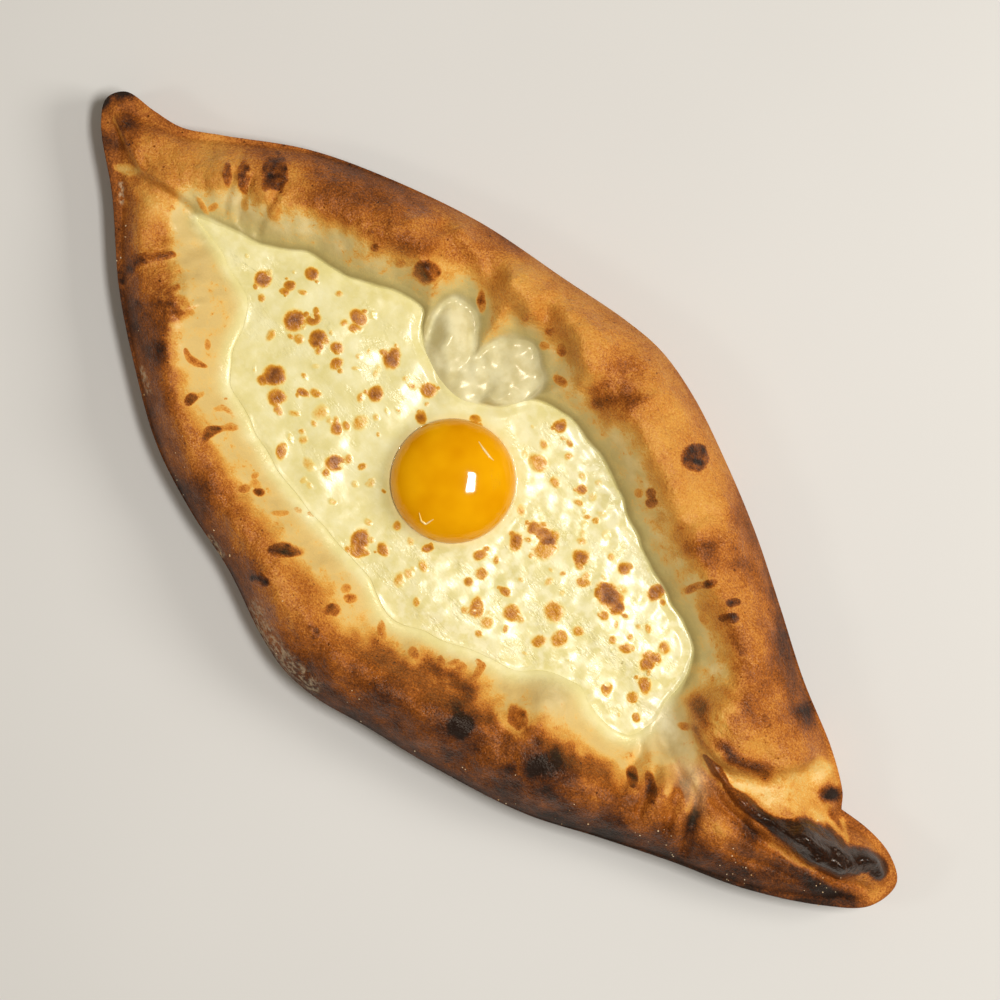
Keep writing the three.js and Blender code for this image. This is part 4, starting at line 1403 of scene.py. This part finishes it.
def wall_color(nodes, off, lumpy):
    """The unbaked inner wall: painted shade in the crease beside the cheese on the +Y side, and warm on the
    -Y side.
    """
    # The ramp over off is painted shade: the +Y wall darkens towards the cheese.
    painted_crease_shade = nodes.ramp(off / 8.0, OLIVE_PAINTED_SHADE)
    shade = nodes.blend(nodes.step(off, 2.0, 8.0), painted_crease_shade, nodes.blend(lumpy, WALL_LOW, WALL_HIGH))
    warm = nodes.blend(nodes.step(off, 0.5, 4.0), WARM_FOOT, WARM_WALL)
    return nodes.blend(nodes.attribute("far"), warm, shade)


def cheese_film(nodes, place, off, bake):
    """How much of the melted cheese clings to the wall as a thin film: more on the -Y side."""
    drift = nodes.spread(nodes.noise(place, PATCH), 0.4, 1.6)
    reach = nodes.spread(nodes.attribute("far"), 6, 0.8) * drift
    return nodes.step(off / reach, 1.1, 0.1) * nodes.step(bake, 0.5, 0.2)


def crust_bump(nodes, place, pit, char, film):
    """The crust's fine relief, calmer where it is soaked or filmed and crackled where it is charred."""
    relief = nodes.group(skin_relief, Vector=place, Coarse_Size=1.2 * MM, Fine_Size=0.45 * MM, Fine_Share=0.6)
    crackle = nodes.noise(place, CRACKLE, 2.0, 0.5) * (char * 2.0)
    height = (relief["Height"] - pit * 0.5) * (1.0 - char * 0.75) + crackle
    smoother = nodes.maths("MAXIMUM", film, nodes.step(nodes.attribute("bake"), 0.4, 0.1))
    smoother = nodes.maths("MAXIMUM", smoother, nodes.attribute("wet") * 0.8)
    strength = nodes.spread(smoother, 1.0, 0.3) * nodes.step(nodes.attribute("off"), 0.0, 2.0)
    return nodes.bump(height, CRUST_RELIEF, strength)


def crust_material():
    material, nodes, shader, place = new_material("baked_crust")
    off = nodes.attribute("off")
    wet = nodes.attribute("wet")
    spots = nodes.group(spotting, Vector=place, Spot=nodes.attribute("spot"), Dark=nodes.attribute("dark"))
    pit = nodes.group(pores, Vector=place)["Pit"] * nodes.step(nodes.attribute("bake"), 0.3, 0.55)
    ragged = (nodes.noise(place, RAGGED) - 0.5) * 0.4
    char = nodes.step(nodes.attribute("roll") + ragged, -0.2, 0.3)
    lumpy = nodes.step(nodes.noise(place, LUMP), 0.3, 0.7)
    toast = nodes.group(
        dough_toasting,
        Vector=place,
        Bake=crust_level(nodes, place, pit, spots["Level"], char),
        Grain_Size=0.5 * MM,
        Grain=0.42,
        Pale=wall_color(nodes, off, lumpy),
    )
    skin = nodes.group(cheese_skin, Vector=place)
    film = cheese_film(nodes, place, off, toast["Bake"])
    melted = nodes.blend(nodes.step(off, 0.0, 7.0), skin["Color"], FILM_OUTSIDE)
    color = nodes.blend(film, toast["Color"], melted)
    soaked = nodes.blend(lumpy, SOAKED_LOW, SOAKED_HIGH)
    soaked = nodes.blend(nodes.step(spots["Level"], 0.1, 0.4), soaked, toast["Color"])
    color = nodes.blend(wet * 0.85, color, soaked)
    dusting = nodes.step(nodes.noise(place, SPECK, 5.0), 0.42, 0.66)
    dusted = nodes.attribute("flour") * dusting * 0.6
    patchy = nodes.spread(nodes.noise(place, PATCH), 0.12, 0.56)
    dry = patchy + nodes.attribute("edge") * 0.4 + wet * 0.3
    rough = nodes.output("Result", "ShaderNodeMix", {"Factor": film, "A": dry, "B": skin["Roughness"]})
    nodes.fill(shader, {
        "Base Color": nodes.blend(dusted, color, FLOUR_DUST),
        "Roughness": rough,
        "Specular IOR Level": 0.4,
        "Specular Tint": BUTTERY_TINT,
        "Coat Weight": char * 0.3,
        "Coat Roughness": 0.14,
        "Normal": crust_bump(nodes, place, pit, char, film),
    })
    return material


def cheese_bump(nodes, place, browned, moist):
    """The cheese's fine relief: strands and crinkles in patches, and calm beside the yolk and at the edge."""
    lively = nodes.attribute("lively")
    strands = nodes.output("Vector", "ShaderNodeMapping", {"Vector": place, "Scale": (0.5, 1, 1)})
    sizes = {"Coarse_Size": 1.4 * MM, "Fine_Size": 0.6 * MM}
    relief = nodes.group(skin_relief, Vector=strands, Fine_Share=0.6, **sizes)
    patches = nodes.step(nodes.noise(strands, PATCH, 2.0), 0.5, 0.66)
    crinkled = nodes.maths("MAXIMUM", nodes.spread(patches, 0.1, 1.0), nodes.step(browned, 0.2, 0.5))
    crinkled = crinkled * nodes.spread(lively, 0.4, 1.0) * nodes.step(lively, 0.0, 0.3)
    return nodes.bump(relief["Height"], CHEESE_RELIEF, crinkled * (1.0 - moist))


def cheese_material():
    material, nodes, shader, place = new_material("melted_cheese")
    moist = nodes.attribute("moist")
    skin = nodes.group(cheese_skin, Vector=place)
    # Whiter patches on the lively side are paler curds, and partly painted sheen for that side's shine.
    whiter_curds_and_sheen = nodes.attribute("lively") * nodes.step(nodes.noise(place, CURD), 0.4, 0.65)
    cream = nodes.blend(whiter_curds_and_sheen * 0.6, skin["Color"], CHEESE_WHITE_AND_SHEEN)
    cream = nodes.blend(nodes.attribute("wet") * 0.8, cream, CHEESE_WHEY)
    cream = nodes.blend(moist * 0.5, cream, CHEESE_BY_YOLK)
    browned = nodes.group(
        spotting,
        Vector=place,
        Spot=nodes.attribute("spot"),
        Dark=nodes.attribute("dark"),
        Size=1.4 * MM,
        Wobble=0.18,
        Softness=0.44,
    )["Level"]
    toast = nodes.group(
        cheese_toasting,
        Vector=place,
        Bake=browned,
        Grain_Size=0.5 * MM,
        Grain=0.3,
        Pale=cream,
    )
    nodes.fill(shader, {
        "Base Color": toast["Color"],
        "Roughness": (skin["Roughness"] + browned * 0.2) * (1.0 - moist * 0.75),
        "Specular IOR Level": 0.4,
        "Normal": cheese_bump(nodes, place, browned, moist),
    })
    return material


def yolk_material():
    material, nodes, shader, place = new_material("raw_yolk")
    relief = nodes.group(skin_relief, Vector=place, Coarse_Size=14 * MM, Fine_Size=4 * MM, Fine_Share=0.2)
    nodes.fill(shader, {
        "Base Color": nodes.ramp(nodes.noise(place, 12 * MM, 2.0), YOLK_ORANGE),
        "Roughness": 0.06,
        "Coat Weight": 0.4,
        "Coat Roughness": 0.03,
        "Normal": nodes.bump(relief["Height"], YOLK_RELIEF),
    })
    return material


def mottled_material(name, size, softness, first, second, roughness):
    """A plain material whose colour drifts between two. Softness is how wide the change is, up to 0.5."""
    material, nodes, shader, place = new_material(name)
    stops = [(0.5 - softness, first), (0.5 + softness, second)]
    nodes.fill(shader, {"Base Color": nodes.ramp(nodes.noise(place, size), stops), "Roughness": roughness})
    return material


def dress(piece, material, node):
    piece.data.materials.clear()
    piece.data.materials.append(material)
    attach(piece, "root")
    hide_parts(node)


# The camera looks straight down, with the boat lying across the picture's falling diagonal.
VIEW_CENTRE = Vector((1.33, 7.69, 12)) * MM
VIEW_WIDTH = 290 * MM
VIEW_TURN = 45
CAMERA_DISTANCE = 0.9
SENSOR = 36

# The tabletop that the boat lies on, the dim warm room, and the point that the lights face.
TABLETOP_SIZE = 4
ROOM_COLOR = (1, 0.86, 0.68, 1)
ROOM_STRENGTH = 0.2
LIT_CENTRE = Vector((0, 0, 0.02))

# The lights in metres and watts: name, place, width, length, power, colour, and whether wet skin mirrors it.
LIGHTS = [
    ("main", (0.17, 0.16, 1.0), 0.26, 0.12, 6.2, (1, 0.98, 0.95), True),
    ("side", (0.55, 0.6, 0.75), 0.4, 0.4, 5, (1, 0.97, 0.92), False),
    ("fill", (-0.5, -0.6, 0.9), 0.2, 0.2, 1, (1, 0.95, 0.88), False),
]


def soft_light(name, place, width, length, power, color, mirrored):
    """A soft light that shines at the middle of the boat."""
    data = bpy.data.lights.new(name, "AREA")
    data.shape = "RECTANGLE"
    data.size = width
    data.size_y = length
    data.energy = power
    data.color = color
    light = bpy.data.objects.new(name, data)
    light.location = place
    light.visible_glossy = mirrored
    light.rotation_euler = (LIT_CENTRE - light.location).to_track_quat("-Z", "Y").to_euler()
    bpy.context.collection.objects.link(light)


def make_camera():
    data = bpy.data.cameras.new("camera")
    data.sensor_width = SENSOR
    data.lens = SENSOR * CAMERA_DISTANCE / VIEW_WIDTH
    data.dof.use_dof = False
    camera = bpy.data.objects.new("camera", data)
    camera.location = VIEW_CENTRE + Vector((0, 0, CAMERA_DISTANCE))
    camera.rotation_euler = (0, 0, math.radians(VIEW_TURN))
    bpy.context.collection.objects.link(camera)
    bpy.context.scene.camera = camera


def make_tabletop():
    bpy.ops.mesh.primitive_plane_add(size=TABLETOP_SIZE)
    floor = bpy.context.object
    floor.name = "tabletop"
    surface = mottled_material("pale_tabletop", 0.3, 0.2, linear(214, 213, 210), linear(220, 219, 216), 0.8)
    floor.data.materials.append(surface)


def make_studio():
    make_tabletop()
    world = bpy.data.worlds.new("studio")
    bpy.context.scene.world = world
    world.use_nodes = True
    world.cycles_visibility.glossy = False
    background = world.node_tree.nodes["Background"]
    background.inputs["Color"].default_value = ROOM_COLOR
    background.inputs["Strength"].default_value = ROOM_STRENGTH
    for light in LIGHTS:
        soft_light(*light)
    bpy.context.scene.view_settings.view_transform = "Standard"


bread = make_bread()
flour = mottled_material("dry_flour", 3 * MM, 0.15, linear(222, 178, 120), linear(240, 224, 190), 0.8)
white = mottled_material("egg_white", 3 * MM, 0.15, linear(246, 206, 110), linear(250, 226, 168), 0.15)
grains = make_grains(bread, flour)
dress(bread, crust_material(), "bread")
dress(grains, flour, "bread")
dress(make_cheese(), cheese_material(), "cheese")
dress(make_yolk(), yolk_material(), "yolk")
dress(make_threads(), white, "yolk")
make_studio()
make_camera()
